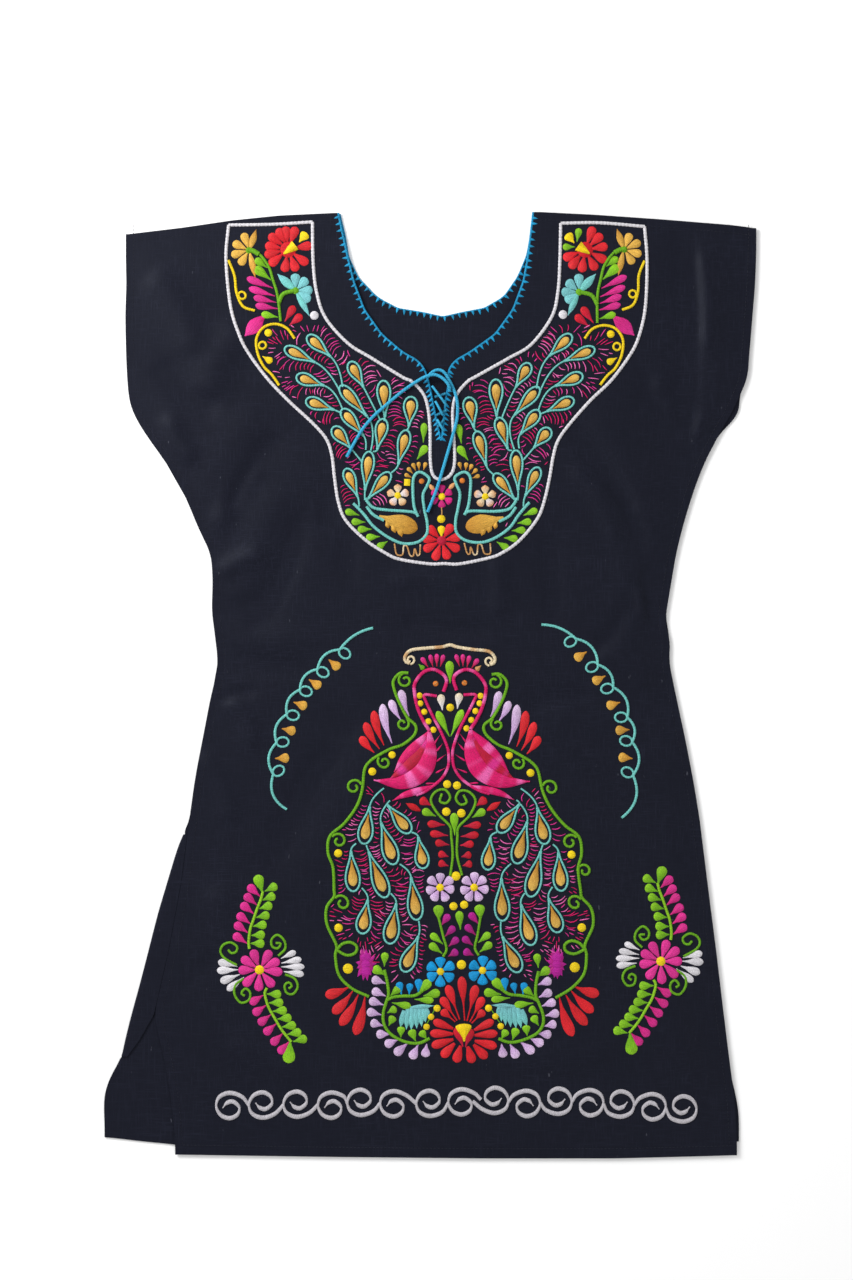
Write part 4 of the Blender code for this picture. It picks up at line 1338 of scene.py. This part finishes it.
SKIRT_BLUE_DROPS = table_of(
    Blade, (56, -284.5, 57.8, -273, 3.2), (49, -284, 47.5, -273.7, 3.0),
    (40.4, -281.8, 39.3, -269.4, 3.4))
SKIRT_FEATHERS = table_of(
    Feather, (83.2, -146, 76.8, -112, 6.6, 63, -95), (56, -164, 66.8, -126, 7.0, 60.4, -108.5),
    (40.3, -135, 60.4, -110, 6.2, 58, -106), (29.5, -169, 32.8, -139.5, 6.2, 38.9, -135),
    (95.8, -189.4, 95.1, -152.8, 6.6, 90, -146), (66.4, -194.4, 78.9, -152.8, 7.0, 80.8, -147),
    (39.1, -216.2, 41.8, -176.8, 6.8, 51.3, -164), (90.2, -227.5, 83.3, -196.5, 6.6, 88, -186),
    (65.2, -238, 57.5, -200.7, 7.0, 62, -191), (52.9, -263.4, 38.3, -231, 6.8, 37.7, -217))
SKIRT_FIELD = [(78, -93), (89, -106), (106, -133), (115, -142), (117.5, -157), (112, -176),
               (114.5, -195.6), (121, -211.4), (118, -229), (111, -243), (103, -250), (90, -247),
               (79, -262), (66, -275), (50, -278), (36, -264), (33, -247), (27, -229), (29, -202),
               (31, -182), (24, -165), (31, -127), (38, -110), (52, -104)]
BIRD_NECK = [(5.9, -5.4), (3.3, 4.1), (6.4, 10), (15.4, 14.2), (24.9, 11), (32.3, 1), (32.3, -8.5),
             (29.2, -21.2), (23.9, -32.8), (18.6, -41.3)]
BIRD_THROAT = [(12.2, -9.6), (23.3, -9.1), (21.8, -14.9), (14.4, -29.7), (8, -42.3), (2.8, -57),
               (2, -65.6), (3.1, -75), (8.5, -84.6), (17, -92), (25.5, -97.3), (33.9, -100.4)]
BIRD_WINGS = [
    ([(19, -42), (31, -55), (44, -68), (53, -80)], 5.0, 0.45),
    ([(18, -46), (30, -64), (43, -76), (58, -87)], 6.4, 0.45),
    ([(19, -42), (19, -60), (28, -79), (47, -89), (72, -88)], 8.8, 0.42),
    ([(17, -92), (34, -97), (45, -100.5), (56, -106)], 3.4, 0.5),
]
BIRD_HAIRS = table_of(
    Blade, (8.6, -44.5, 16, -55, 0.8), (6.7, -53, 13, -60.3, 0.8), (4.6, -63.5, 13.6, -69.8, 0.8),
    (5.3, -76, 14.8, -80.4, 0.8), (13, -90, 24.5, -90, 0.8))


def patches(work, count, dye, other, step):
    """Dyes along a variegated thread, which changes from one to the other and back."""
    walked = np.arange(count) * step
    first, second = work.rng.uniform(0.0, 6.0, 2)
    share = 0.5 + 0.5 * np.sin(walked / 3.6 + first) * np.sin(walked / 8.2 + second)
    share = np.clip(2.4 * share - 1.2, 0.0, 0.85)[:, None]
    return np.array(dye) * (1.0 - share) + np.array(other) * share


def skirt_bird(work, half, threads):
    """A bird with a looped neck and a broad wing of variegated thread."""
    put = half.at
    for line, width in ((BIRD_NECK, 1.7), (BIRD_THROAT, 1.45)):
        path = curve(put(line))
        work.rope(path, width, patches(work, len(path), threads.hot_pink, threads.pink, 1.2))
    for k, (line, width, belly) in enumerate(BIRD_WINGS):
        path = curve(put(line), 1.6)
        share = np.linspace(0.0, 1.0, len(path))
        shape = np.maximum(swell(share, belly, 0.22, True), 0.08)
        shades = (threads.crimson, threads.rose) if k == 1 else (threads.hot_pink, threads.pink)
        dye = patches(work, len(path), *shades, 1.6)
        work.ribbon(path, width * shape, 0.8 + 1.0 * shape, dye, raised=0.25 * (k == 2))
    blades(work, half, BIRD_HAIRS, threads.hot_pink)
    work.dot(put((13.3, 1.5)), 2.7, threads.orange)
    work.rope(curve(put([(11.6, 3.2), (13.3, 1.5), (15, 0.4)]), 0.8), 0.6, threads.tan, crest=1.7)
    work.drop(*put([(6.5, -22.3), (8.6, -8)]), 3.4, threads.white, threads.cream)


def skirt_garden(work, half, threads, ground):
    """Vine round the design, and its curls, drops, leaves and flowers."""
    put = half.at
    vines(work, half, SKIRT_VINES, threads.green, 1.45, ground)
    curls(work, half, SKIRT_CURLS, threads.green, 1.25, ground)
    if half.sign > 0:
        curls(work, half, [Curl(118.5, -170, 6.6, 0.5, -1.1, 0.3)], threads.green, 1.25)
    vines(work, half, SKIRT_STEMS, threads.green, 1.25, ground)
    vines(work, half, SKIRT_LOW_STEMS, threads.green, 1.5, ground)
    dots(work, half, SKIRT_YELLOW_DOTS, threads.yellow, ground)
    blades(work, half, SKIRT_LILAC, threads.lilac, threads.orchid, bend=0.05)
    blades(work, half, SKIRT_RED, threads.red, threads.scarlet, bend=0.05)
    blades(work, half, SKIRT_CROWN, threads.crimson, threads.rose)
    blades(work, half, SKIRT_RED_LEAVES, threads.crimson, threads.red, ground=ground)
    blades(work, half, [Blade(30.5, -115, 43.5, -107.8, 3.2)], threads.red, style="leaf", ground=ground)
    work.flower(put((16, -186)), 13.8, 7, threads.lilac, threads.yellow, tip_dye=threads.orchid)
    work.flower(put((19.2, -262.4)), 13.8, 6, threads.blue, threads.yellow, hub=0.27)
    blades(work, half, SKIRT_GREEN_DROPS, threads.green, threads.lime, ground=ground)
    blades(work, half, SKIRT_PURPLE, threads.plum, threads.purple)
    blades(work, half, SKIRT_BLUE_DROPS, threads.blue, ground=ground)
    blades(work, half, SKIRT_FANS, threads.red, threads.scarlet, bend=0.04)
    blades(work, half, SKIRT_RIM_DROPS, threads.lilac, threads.orchid)
    blades(work, half, SKIRT_LOW_LEAVES, threads.green, threads.lime, ground=ground)
    thistle(work, put((87.5, -256.2)), threads)
    bell(work, half, threads)


THISTLE_ACROSS, THISTLE_UP, THISTLE_POINTS = 9.5, 16.0, 13


def thistle(work, centre, threads):
    """A ragged tuft of purple stitches, taller than wide."""
    for k in range(THISTLE_POINTS):
        angle = 2 * math.pi * k / THISTLE_POINTS + work.rng.normal(0.0, 0.08)
        out = np.array([THISTLE_ACROSS * math.cos(angle), THISTLE_UP * math.sin(angle)])
        work.leaf(centre - out * 0.1, centre + out * work.rng.uniform(0.78, 1.08), 2.9, threads.plum,
                  threads.purple)
    for level in (-6.0, 0.0, 6.0):
        work.dot(centre + (0.0, level), 5.6, threads.purple)


BELL = table_of(
    Blade, (54, -298.5, 58.2, -313.6, 3.2), (50.5, -296.5, 52.8, -315.5, 3.2),
    (47, -296, 48.2, -316, 3.2), (43.5, -296, 43.2, -314.5, 3.2), (40, -296, 38.6, -312.8, 3.1),
    (37, -296, 35, -309, 3.0), (34, -296, 32.2, -304.6, 2.6))


def bell(work, half, threads):
    """A pale blue bell: petals side by side under a leaf, each with a pointed end."""
    blades(work, half, BELL, threads.pale_blue, threads.turquoise, style="blade", belly=0.5, start=0.7,
           pointed=True, crest=0.6)
    work.leaf(*half.at([(50, -295.8), (26.5, -294)]), 2.4, threads.pale_blue)
    work.rope(curve(half.at([(24, -293), (29.9, -304.2), (34.2, -311)])), 0.5, threads.green)


BRACKET = [(37.2, 19.5), (40.8, 21.2), (41.5, 26), (36, 31.6), (22, 33.2), (7.5, 34.8), (0, 36.9)]
RED_PETALS = table_of(
    Blade, (9.7, -316.2, 28, -308.2, 4.0), (9.7, -321, 31, -319.5, 4.1), (9.7, -326, 29.7, -331.5, 4.3),
    (8.5, -329.5, 20.3, -342, 4.5), (3, -331.5, 7.4, -346.8, 4.6))
RED_RAYS = table_of(
    Blade, (7.8, -309.8, 20, -298.6, 3.5), (6.2, -308.6, 19.6, -286.5, 3.7),
    (3.6, -307.8, 13.4, -275.4, 3.9))


def skirt_centre(work, threads):
    """What lies on the centre line: the bracket, drops and the great red flower."""
    left, right = HALVES
    path = curve(np.concatenate([left.at(BRACKET), right.at(BRACKET)[-2::-1]]))
    work.rope(path, 1.6, patches(work, len(path), threads.cream, threads.tan, 1.2))
    for half, dye in zip(HALVES, (threads.green, threads.tan)):
        curls(work, half, [Curl(36.6, 22.8, 4.2, 0.75, -1.0, 0.4)], threads.cream, 1.1)
        work.drop(*half.at([(29, 18.5), (24, 14)]), 2.2, dye)
        blades(work, half, RED_RAYS, threads.red, threads.scarlet, style="ray")
        blades(work, half, RED_PETALS, threads.red, threads.scarlet, style="blade", belly=0.74,
               crest=1.3)
        work.drop(*half.at([(0.8, -332.5), (7.2, -315)]), 3.8, threads.crimson, threads.red)
    middle = Half(1)
    work.ray(*middle.at([(1.5, -307.5), (0, -267)]), 3.9, threads.red, threads.scarlet)
    work.blade(*middle.at([(0, -327), (0, -310.5)]), 7.6, threads.yellow, belly=0.84, start=0.06, crest=2.4)
    dots(work, middle, SKIRT_MIDDLE_DOTS, threads.yellow)
    blades(work, middle, SKIRT_MIDDLE_DROPS, threads.green, threads.lime)


# Garlands, sprigs and the scroll above the hem

Garland = namedtuple("Garland", "joints way")
LEFT_GARLAND = Garland([(-52.3, 52.4), (-82.8, 32.5), (-103.2, 14.5), (-119.3, -4.2), (-131.4, -27),
                        (-140.8, -52.9), (-143.8, -81.8), (-131.7, -114.2)], -1)
RIGHT_GARLAND = Garland([(102.4, 55.5), (134, 42.5), (154, 18.7), (168.2, -2), (181.1, -29.7),
                         (185.6, -52.3), (186.3, -82.6), (176, -122)], 1)
ARC_BOW = 0.40                            # pull of each arc between two loops, to its length
LOOP_OUT, LOOP_SIDE, LOOP_TURN = 5.6, 4.4, 12
GOLD_DROP, GOLD_TURN = 13.0, 8


def garland(work, spec, threads):
    """A line of arcs with a loop on the hollow side at each joint, and gold drops between."""
    joints = np.array(spec.joints)
    t = np.linspace(0.0, 2 * math.pi, 26)[:, None]
    for k, (a, b) in enumerate(zip(joints, joints[1:])):
        gap = np.hypot(*(b - a))
        inward = turned((b - a) / gap, -90 * spec.way)
        bow = ARC_BOW if k else ARC_BOW / 2
        work.rope(arc(a, (a + b) / 2 - inward * gap * bow, b, 1.0), 1.3, threads.turquoise)
        if k == 0:
            continue
        out = turned(inward, -LOOP_TURN * spec.way)
        loop = a + out * LOOP_OUT * (1 - np.cos(t)) + turned(out, 90) * LOOP_SIDE * np.sin(t)
        work.rope(evenly(loop, 0.9), 1.05, threads.turquoise)
        if k < len(joints) - 2:
            out = turned(inward, -GOLD_TURN * spec.way)
            root = (a + b) / 2
            work.drop(root, root + out * GOLD_DROP, 4.1, threads.honey, threads.gold)


class Spray:
    """Place of a sprig: its table is counted from its flower, and mirrored for sign -1."""

    def __init__(self, x, y, sign):
        self.centre, self.sign = np.array([x, y]), sign

    def at(self, points):
        return self.centre + np.array(points, float) * (self.sign, 1.0)


SPRAYS = (Spray(-156.5, -261.4, 1), Spray(212.0, -253.6, -1))
SPRIG_PETALS = (107, 62, 28, -11, -49, -93, -135, -177, 144)
SPRIG_STEMS = [
    [(-9.2, 19.7), (-9.8, 26.5), (-8.4, 37.6), (-5.5, 46.2), (-2.2, 56), (1.2, 64.7), (3.1, 72)],
    [(6.8, -16.7), (4.9, -21), (5.9, -27.1), (8.6, -35.1), (13.6, -43.8), (18.5, -52.4),
     (23.4, -59.2), (29, -66)],
]
Row = namedtuple("Row", "stem count first last way reach start end green")
SPRIG_ROWS = table_of(
    Row, (0, 7, 0.08, 1.00, 1, 12.8, -2, 26, True), (0, 6, 0.10, 0.92, -1, 15.0, 146, 137, False),
    (1, 7, 0.10, 1.00, 1, 13.4, -1, 14, True), (1, 6, 0.12, 1.00, -1, 14.5, -149, -133, False))
SPRIG_END_LEAVES = table_of(Blade, (3.1, 70, -2.5, 87, 4.5), (28.4, -64, 26.5, -85.6, 5.3))
SPRIG_CURLS = [
    [(-20.9, 4.3), (-32, 10.5), (-36, 16.6), (-33.3, 22.8), (-26.5, 25.2), (-20.6, 21.5),
     (-21.5, 16.6), (-25.9, 15.4), (-28.9, 18.5)],
    [(17.3, 12.9), (23.4, 19.1), (22.8, 26.5), (16.6, 32), (11.1, 27.7), (11.7, 21.5), (16.6, 19.7),
     (19.5, 24), (14.8, 24.6)],
    [(23.4, -4.3), (32, -8), (35.1, -15.4), (30.8, -22.2), (24.7, -21), (23.2, -14.2),
     (27.1, -11.7), (29.6, -14.8), (26.9, -17.3)],
    [(-14.8, -8), (-22.2, -14.2), (-22.8, -22.8), (-17.2, -30.2), (-9.8, -27.7), (-8.6, -21),
     (-12.9, -17.3), (-16.6, -21.6), (-13.5, -24)],
]
SPRIG_PALE = table_of(
    Blade, (-20.3, 3.1, -38.2, 7.4, 3.3), (-19.7, 0, -39.2, -0.9, 3.4), (-18.2, -4.3, -36, -11.1, 3.5),
    (-14.2, -6.8, -29.8, -18.9, 3.2), (19.7, 10.4, 33.3, 16.6, 2.7), (20, 6.1, 38.5, 9.8, 2.9),
    (19.7, 2.7, 41.3, 2.7, 2.9), (22.2, -1.6, 40.7, -4.3, 3.0))


def sprig(work, spray, threads):
    """A magenta flower with a leafy stem above it and another below, curls and pale drops."""
    vines(work, spray, SPRIG_STEMS, threads.lime, 1.35)
    vines(work, spray, SPRIG_CURLS, threads.green, 1.2)
    for row in SPRIG_ROWS:
        stem = curve(SPRIG_STEMS[row.stem])
        dyes = (threads.green, threads.lime) if row.green else (threads.magenta, threads.rose)
        for share in np.linspace(0.0, 1.0, row.count):
            root = stem[round((row.first + (row.last - row.first) * share) * (len(stem) - 1))]
            angle = math.radians(row.start + (row.end - row.start) * share)
            out = np.array([math.cos(angle), math.sin(angle)])
            root = root + (row.way * 1.6, 0.0)
            work.drop(*spray.at([root, root + out * row.reach]), 3.8, *dyes)
    blades(work, spray, SPRIG_END_LEAVES, threads.green, threads.lime)
    blades(work, spray, SPRIG_PALE, threads.white)
    work.flower(spray.centre, 20.5, facing(spray, SPRIG_PETALS), threads.rose, threads.yellow, hub=0.23,
                half=4.5)


SCROLL_STROKE = [(18.7, 1.9), (12.4, 7.9), (1.3, 11.4), (-8.2, 7.6), (-11.1, -0.8), (-7.0, -8.9),
                 (1.3, -11.9), (8.4, -8.4), (10, -1.8), (4.4, 3.3), (-1.1, 2.2), (-5.1, -2.4)]
Turn = namedtuple("Turn", "x y up")      # up is 1 where the stroke goes over the turn, else -1
SCROLL = table_of(
    Turn, (-185.2, -385.9, 1), (-155.1, -385.9, -1), (-123.4, -385.1, -1), (-91.7, -385.6, 1),
    (-64.7, -383.5, -1), (-34.6, -384.3, 1), (-1.4, -384.3, -1), (28.0, -382.4, 1), (60.8, -381.6, -1),
    (89.9, -384.0, 1), (119.0, -382.4, -1), (148.1, -383.3, 1), (176.3, -385.0, -1), (205.4, -387.0, 1),
    (233.6, -389.5, -1))
SCROLL_MIDDLE = 7                         # turns up to this one are fed from the right
SCROLL_RADIUS, SCROLL_WIDTH, SCROLL_SWELL = 11.1, 1.0, 1.15
SCROLL_THIN, SCROLL_TIP = 0.35, 6.0       # share of its width at its inner end, and points to full width


def scroll(work, threads):
    """A running scroll: each stroke comes from the edge of its neighbour and curls in."""
    for k, turn in enumerate(SCROLL):
        way = 1 if k <= SCROLL_MIDDLE else -1
        stroke = np.array(SCROLL_STROKE) * (way, turn.up) + (turn.x, turn.y)
        neighbour = k + way
        if 0 <= neighbour < len(SCROLL) and k != SCROLL_MIDDLE:
            near = SCROLL[neighbour]
            stroke[0] = (near.x - SCROLL_RADIUS * way, (near.y + turn.y) / 2)
        path = curve(stroke, 1.0)
        level = np.abs(directions(path)[0][:, 0])
        end = np.clip(np.arange(len(path))[::-1] / SCROLL_TIP, SCROLL_THIN, 1.0)
        work.ribbon(path, (SCROLL_WIDTH + SCROLL_SWELL * level) * end, 1.2, threads.silver, slant=2.0)


# Seams and hems, sewn with dark thread

STITCH, STITCH_STEP, STITCH_HALF = 2.4, 3.5, 0.26
HEM_FOLD, SIDE_FOLD = 9.0, 7.0            # from the edges of the cloth to their rows of stitches


def sewing(work, outline, dye):
    """Rows of running stitches along the hem, both sides and the shoulders."""
    clear = slice(3, -4)                  # the levels that are clear of the corners
    levels = outline.levels[clear] / MM
    across = np.linspace(outline.left[-1] / MM + SIDE_FOLD, outline.right[-1] / MM - SIDE_FOLD, 60)
    rows = [np.column_stack([across, outline.hem_at(across * MM) / MM + HEM_FOLD]),
            np.column_stack([outline.left[clear] / MM + SIDE_FOLD, levels]),
            np.column_stack([outline.right[clear] / MM - SIDE_FOLD, levels])]
    for x0, x1 in ((outline.left[0], outline.neck_left[0]), (outline.neck_right[0], outline.right[0])):
        across = np.linspace(x0 / MM + SIDE_FOLD, x1 / MM - SIDE_FOLD, 20)
        rows.append(np.column_stack([across, outline.shoulder_at(across * MM) / MM - SIDE_FOLD]))
    for row in rows:
        path = evenly(row, STITCH_STEP)
        for here, ahead in zip(path, directions(path)[0]):
            ends = [here, here + ahead * STITCH / 2, here + ahead * STITCH]
            work.ribbon(ends, STITCH_HALF, (0.1, 0.35, 0.1), dye, section=ROOF)


# Stage

SENSOR = 0.036
FLOOR_MOTTLE, FLOOR_SHADE = 9.0, 0.985    # scale of the floor's unevenness, and its darker tone
FLOOR_SIZE, FLOOR_DROP = 8.0, 0.0004      # its sides, and how far it lies below the garment
SKY_STRENGTH = 0.72
Lamp = namedtuple("Lamp", "name location size power aim")
LAMPS = table_of(
    Lamp, ("window", (-1.25, 0.95, 1.05), 0.8, 36.0, (0.0, 0.1, 0.0)),
    ("fill", (1.9, -0.9, 2.2), 2.0, 6.0, (0.0, 0.0, 0.0)))


def add_area_light(lamp):
    data = bpy.data.lights.new(lamp.name, "AREA")
    data.shape = "RECTANGLE"
    data.size = data.size_y = lamp.size
    data.energy = lamp.power
    light = bpy.data.objects.new(lamp.name, data)
    light.location = lamp.location
    way = Vector(lamp.aim) - Vector(lamp.location)
    light.rotation_euler = way.to_track_quat("-Z", "Y").to_euler()
    bpy.context.scene.collection.objects.link(light)


def build_stage(sizes):
    scene = bpy.context.scene
    data = bpy.data.cameras.new("camera")
    data.sensor_width = SENSOR * 1000
    data.lens = SENSOR * 1000 * sizes.camera_height / sizes.view_length
    camera = bpy.data.objects.new("camera", data)
    camera.location = (*sizes.view_centre, sizes.camera_height)
    scene.collection.objects.link(camera)
    scene.camera = camera
    bpy.ops.mesh.primitive_plane_add(size=FLOOR_SIZE, location=(0.0, 0.0, -FLOOR_DROP))
    floor = bpy.context.object
    floor.name = "floor"
    pale = Finish("pale_floor")
    mottle = pale.noise(pale.node("TexCoord").outputs["Object"], FLOOR_MOTTLE, detail=3.0)
    shaded = [part * FLOOR_SHADE for part in sizes.floor]
    pale.put(pale.shader.inputs["Base Color"], pale.mix(mottle, shaded, sizes.floor))
    pale.put(pale.shader.inputs["Roughness"], pale.range(mottle, 0.3, 0.7, 0.84, 0.92))
    floor.data.materials.append(pale.material)
    world = bpy.data.worlds.new("studio")
    world.use_nodes = True
    sky = world.node_tree.nodes["Background"]
    sky.inputs["Color"].default_value = (1.0, 1.0, 1.0, 1.0)
    sky.inputs["Strength"].default_value = SKY_STRENGTH
    scene.world = world
    for lamp in LAMPS:
        add_area_light(lamp)
    scene.view_settings.view_transform = "Standard"


# Operators

class Made:
    """What one operator leaves for the next ones."""
    outline = relief = back = cotton = thread = lace = None
    yoke_grounds, skirt_grounds, yoke_lines, skirt_lines = [], [], [], []


def threads_of(context):
    return context.scene.huipil_threads


def sew(name, seed, stitches, *details):
    """A piece of thread with the stitches of one function."""
    work = Work(seed=seed)
    stitches(work, *details)
    work.finish(name, Made.thread)


class HUIPIL_OT_front(bpy.types.Operator):
    """Front panel of cotton, on the form of its solid"""
    bl_idname = "huipil.front"
    bl_label = "Front panel"

    def execute(self, context):
        sizes = context.scene.huipil_cloth
        Made.cotton = cotton_material(sizes)
        Made.thread = thread_material("embroidery_thread", 0.55, 0.03)
        Made.lace = thread_material("lace_thread", 0.62, 0.04)
        Made.outline = Outline("front", sizes.grid)
        Made.relief = Relief(sizes.crease_strength)
        piece = front_cloth(sizes, Made.outline, Made.relief, Made.cotton)
        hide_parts("front")
        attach(piece, "root")
        return {"FINISHED"}


class HUIPIL_OT_back(bpy.types.Operator):
    """Back panel of cotton, with the side that wraps round onto the front"""
    bl_idname = "huipil.back"
    bl_label = "Back panel"

    def execute(self, context):
        piece, Made.back = back_cloth(context.scene.huipil_cloth, Made.cotton)
        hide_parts("back")
        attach(piece, "root")
        return {"FINISHED"}


class HUIPIL_OT_edging(bpy.types.Operator):
    """Blanket stitches along both necklines and the slit"""
    bl_idname = "huipil.edging"
    bl_label = "Neck edging"

    def execute(self, context):
        colour = threads_of(context).sky
        sew("front_edging", 11, edging, Made.outline, colour, *FRONT_CORD)
        work = Work(seed=12, ground=lambda plan: np.full(len(plan), CLOTH))
        edging(work, Made.back, colour, *BACK_CORD)
        work.finish("back_edging", Made.thread)
        return {"FINISHED"}


class HUIPIL_OT_lace(bpy.types.Operator):
    """Lace through the slit, with its two free ends"""
    bl_idname = "huipil.lace"
    bl_label = "Lace"

    def execute(self, context):
        colour = threads_of(context).lace
        free_lace("lace_end_left", "lace_left", LACE_LEFT_ROUTE, colour)
        free_lace("lace_end_right", "lace_right", LACE_RIGHT_ROUTE, colour)
        lacing(colour)
        return {"FINISHED"}


class HUIPIL_OT_yoke_outline(bpy.types.Operator):
    """White rope stitches round the yoke"""
    bl_idname = "huipil.yoke_outline"
    bl_label = "Yoke outline"

    def execute(self, context):
        sew("yoke_outline", 21, yoke_outline, threads_of(context))
        return {"FINISHED"}


class HUIPIL_OT_yoke_birds(bpy.types.Operator):
    """The yoke's two birds, their feathers and the flowers between them"""
    bl_idname = "huipil.yoke_birds"
    bl_label = "Yoke birds"

    def execute(self, context):
        threads = threads_of(context)
        plumes, birds = Work(seed=22), Work(seed=23)
        for half in HALVES:
            ground, lines = Ground(yoke_half_edge(half, YOKE_FIELD_TOP)), []
            ground.take(yoke_half_edge(half), 3.0)
            feathers(plumes, half, YOKE_FEATHERS, threads, ground, lines)
            yoke_bird(birds, half, threads, ground)
            Made.yoke_grounds.append(ground)
            Made.yoke_lines.append(lines)
        yoke_centre(birds, threads)
        plumes.finish("yoke_feathers", Made.thread)
        birds.finish("yoke_birds", Made.thread)
        return {"FINISHED"}


class HUIPIL_OT_yoke_garden(bpy.types.Operator):
    """Flowers, leaves and vines of the yoke, and the short stitches round its feathers"""
    bl_idname = "huipil.yoke_garden"
    bl_label = "Yoke flowers"

    def execute(self, context):
        threads = threads_of(context)
        garden, fill = Work(seed=24), Work(seed=25)
        for half, ground, lines in zip(HALVES, Made.yoke_grounds, Made.yoke_lines):
            yoke_garden(garden, half, threads, ground)
            ticks(fill, ground, lines, threads)
        garden.finish("yoke_flowers", Made.thread)
        fill.finish("yoke_ticks", Made.thread)
        return {"FINISHED"}


class HUIPIL_OT_skirt_birds(bpy.types.Operator):
    """The skirt's two birds and their feathers"""
    bl_idname = "huipil.skirt_birds"
    bl_label = "Skirt birds"

    def execute(self, context):
        threads = threads_of(context)
        plumes, birds = Work(seed=31), Work(seed=32)
        for half in HALVES:
            ground, lines = Ground(half.at(SKIRT_FIELD)), []
            feathers(plumes, half, SKIRT_FEATHERS, threads, ground, lines)
            skirt_bird(birds, half, threads)
            Made.skirt_grounds.append(ground)
            Made.skirt_lines.append(lines)
        plumes.finish("skirt_feathers", Made.thread)
        birds.finish("skirt_birds", Made.thread)
        return {"FINISHED"}


class HUIPIL_OT_skirt_garden(bpy.types.Operator):
    """Vines and flowers of the skirt, and the short stitches round its feathers"""
    bl_idname = "huipil.skirt_garden"
    bl_label = "Skirt flowers"

    def execute(self, context):
        threads = threads_of(context)
        garden, fill = Work(seed=33), Work(seed=34)
        for half, ground, lines in zip(HALVES, Made.skirt_grounds, Made.skirt_lines):
            skirt_garden(garden, half, threads, ground)
            ticks(fill, ground, lines, threads)
        skirt_centre(garden, threads)
        garden.finish("skirt_flowers", Made.thread)
        fill.finish("skirt_ticks", Made.thread)
        return {"FINISHED"}


class HUIPIL_OT_sides(bpy.types.Operator):
    """Garlands and sprigs at both sides, and the scroll above the hem"""
    bl_idname = "huipil.sides"
    bl_label = "Garlands, sprigs and scroll"

    def execute(self, context):
        threads = threads_of(context)
        work = Work(seed=41)
        for spec in (LEFT_GARLAND, RIGHT_GARLAND):
            garland(work, spec, threads)
        work.finish("garlands", Made.thread)
        work = Work(seed=42)
        for spray in SPRAYS:
            sprig(work, spray, threads)
        work.finish("sprigs", Made.thread)
        sew("hem_scroll", 43, scroll, threads)
        return {"FINISHED"}


class HUIPIL_OT_sewing(bpy.types.Operator):
    """Rows of dark stitches along the hem, the sides and the shoulders"""
    bl_idname = "huipil.sewing"
    bl_label = "Sewing"

    def execute(self, context):
        sew("sewing", 51, sewing, Made.outline, threads_of(context).seam)
        return {"FINISHED"}


class HUIPIL_OT_stage(bpy.types.Operator):
    """Floor, lights and a camera straight above the garment"""
    bl_idname = "huipil.stage"
    bl_label = "Stage"

    def execute(self, context):
        build_stage(context.scene.huipil_stage)
        return {"FINISHED"}


class HUIPIL_PT_panel(bpy.types.Panel):
    """Pieces of the huipil blouse"""
    bl_idname = "HUIPIL_PT_panel"
    bl_label = "Huipil Blouse"
    bl_space_type = "VIEW_3D"
    bl_region_type = "UI"
    bl_category = "Huipil"

    def draw(self, context):
        for operator in OPERATORS:
            self.layout.operator(operator.bl_idname)


GROUPS = {"huipil_cloth": ClothSizes, "huipil_threads": ThreadColours, "huipil_stage": StageSizes}
OPERATORS = [HUIPIL_OT_stage, HUIPIL_OT_front, HUIPIL_OT_back, HUIPIL_OT_edging, HUIPIL_OT_lace,
             HUIPIL_OT_yoke_outline, HUIPIL_OT_yoke_birds, HUIPIL_OT_yoke_garden,
             HUIPIL_OT_skirt_birds, HUIPIL_OT_skirt_garden, HUIPIL_OT_sides, HUIPIL_OT_sewing]


def register():
    for group in GROUPS.values():
        bpy.utils.register_class(group)
    for name, group in GROUPS.items():
        setattr(bpy.types.Scene, name, PointerProperty(type=group))
    for operator in OPERATORS:
        bpy.utils.register_class(operator)
    bpy.utils.register_class(HUIPIL_PT_panel)


def unregister():
    bpy.utils.unregister_class(HUIPIL_PT_panel)
    for operator in reversed(OPERATORS):
        bpy.utils.unregister_class(operator)
    for name, group in GROUPS.items():
        delattr(bpy.types.Scene, name)
        bpy.utils.unregister_class(group)


def main():
    register()
    bpy.ops.huipil.stage()
    bpy.ops.huipil.front()
    bpy.ops.huipil.back()
    bpy.ops.huipil.edging()
    bpy.ops.huipil.lace()
    bpy.ops.huipil.yoke_outline()
    bpy.ops.huipil.yoke_birds()
    bpy.ops.huipil.yoke_garden()
    bpy.ops.huipil.skirt_birds()
    bpy.ops.huipil.skirt_garden()
    bpy.ops.huipil.sides()
    bpy.ops.huipil.sewing()


if __name__ == "__main__":
    main()
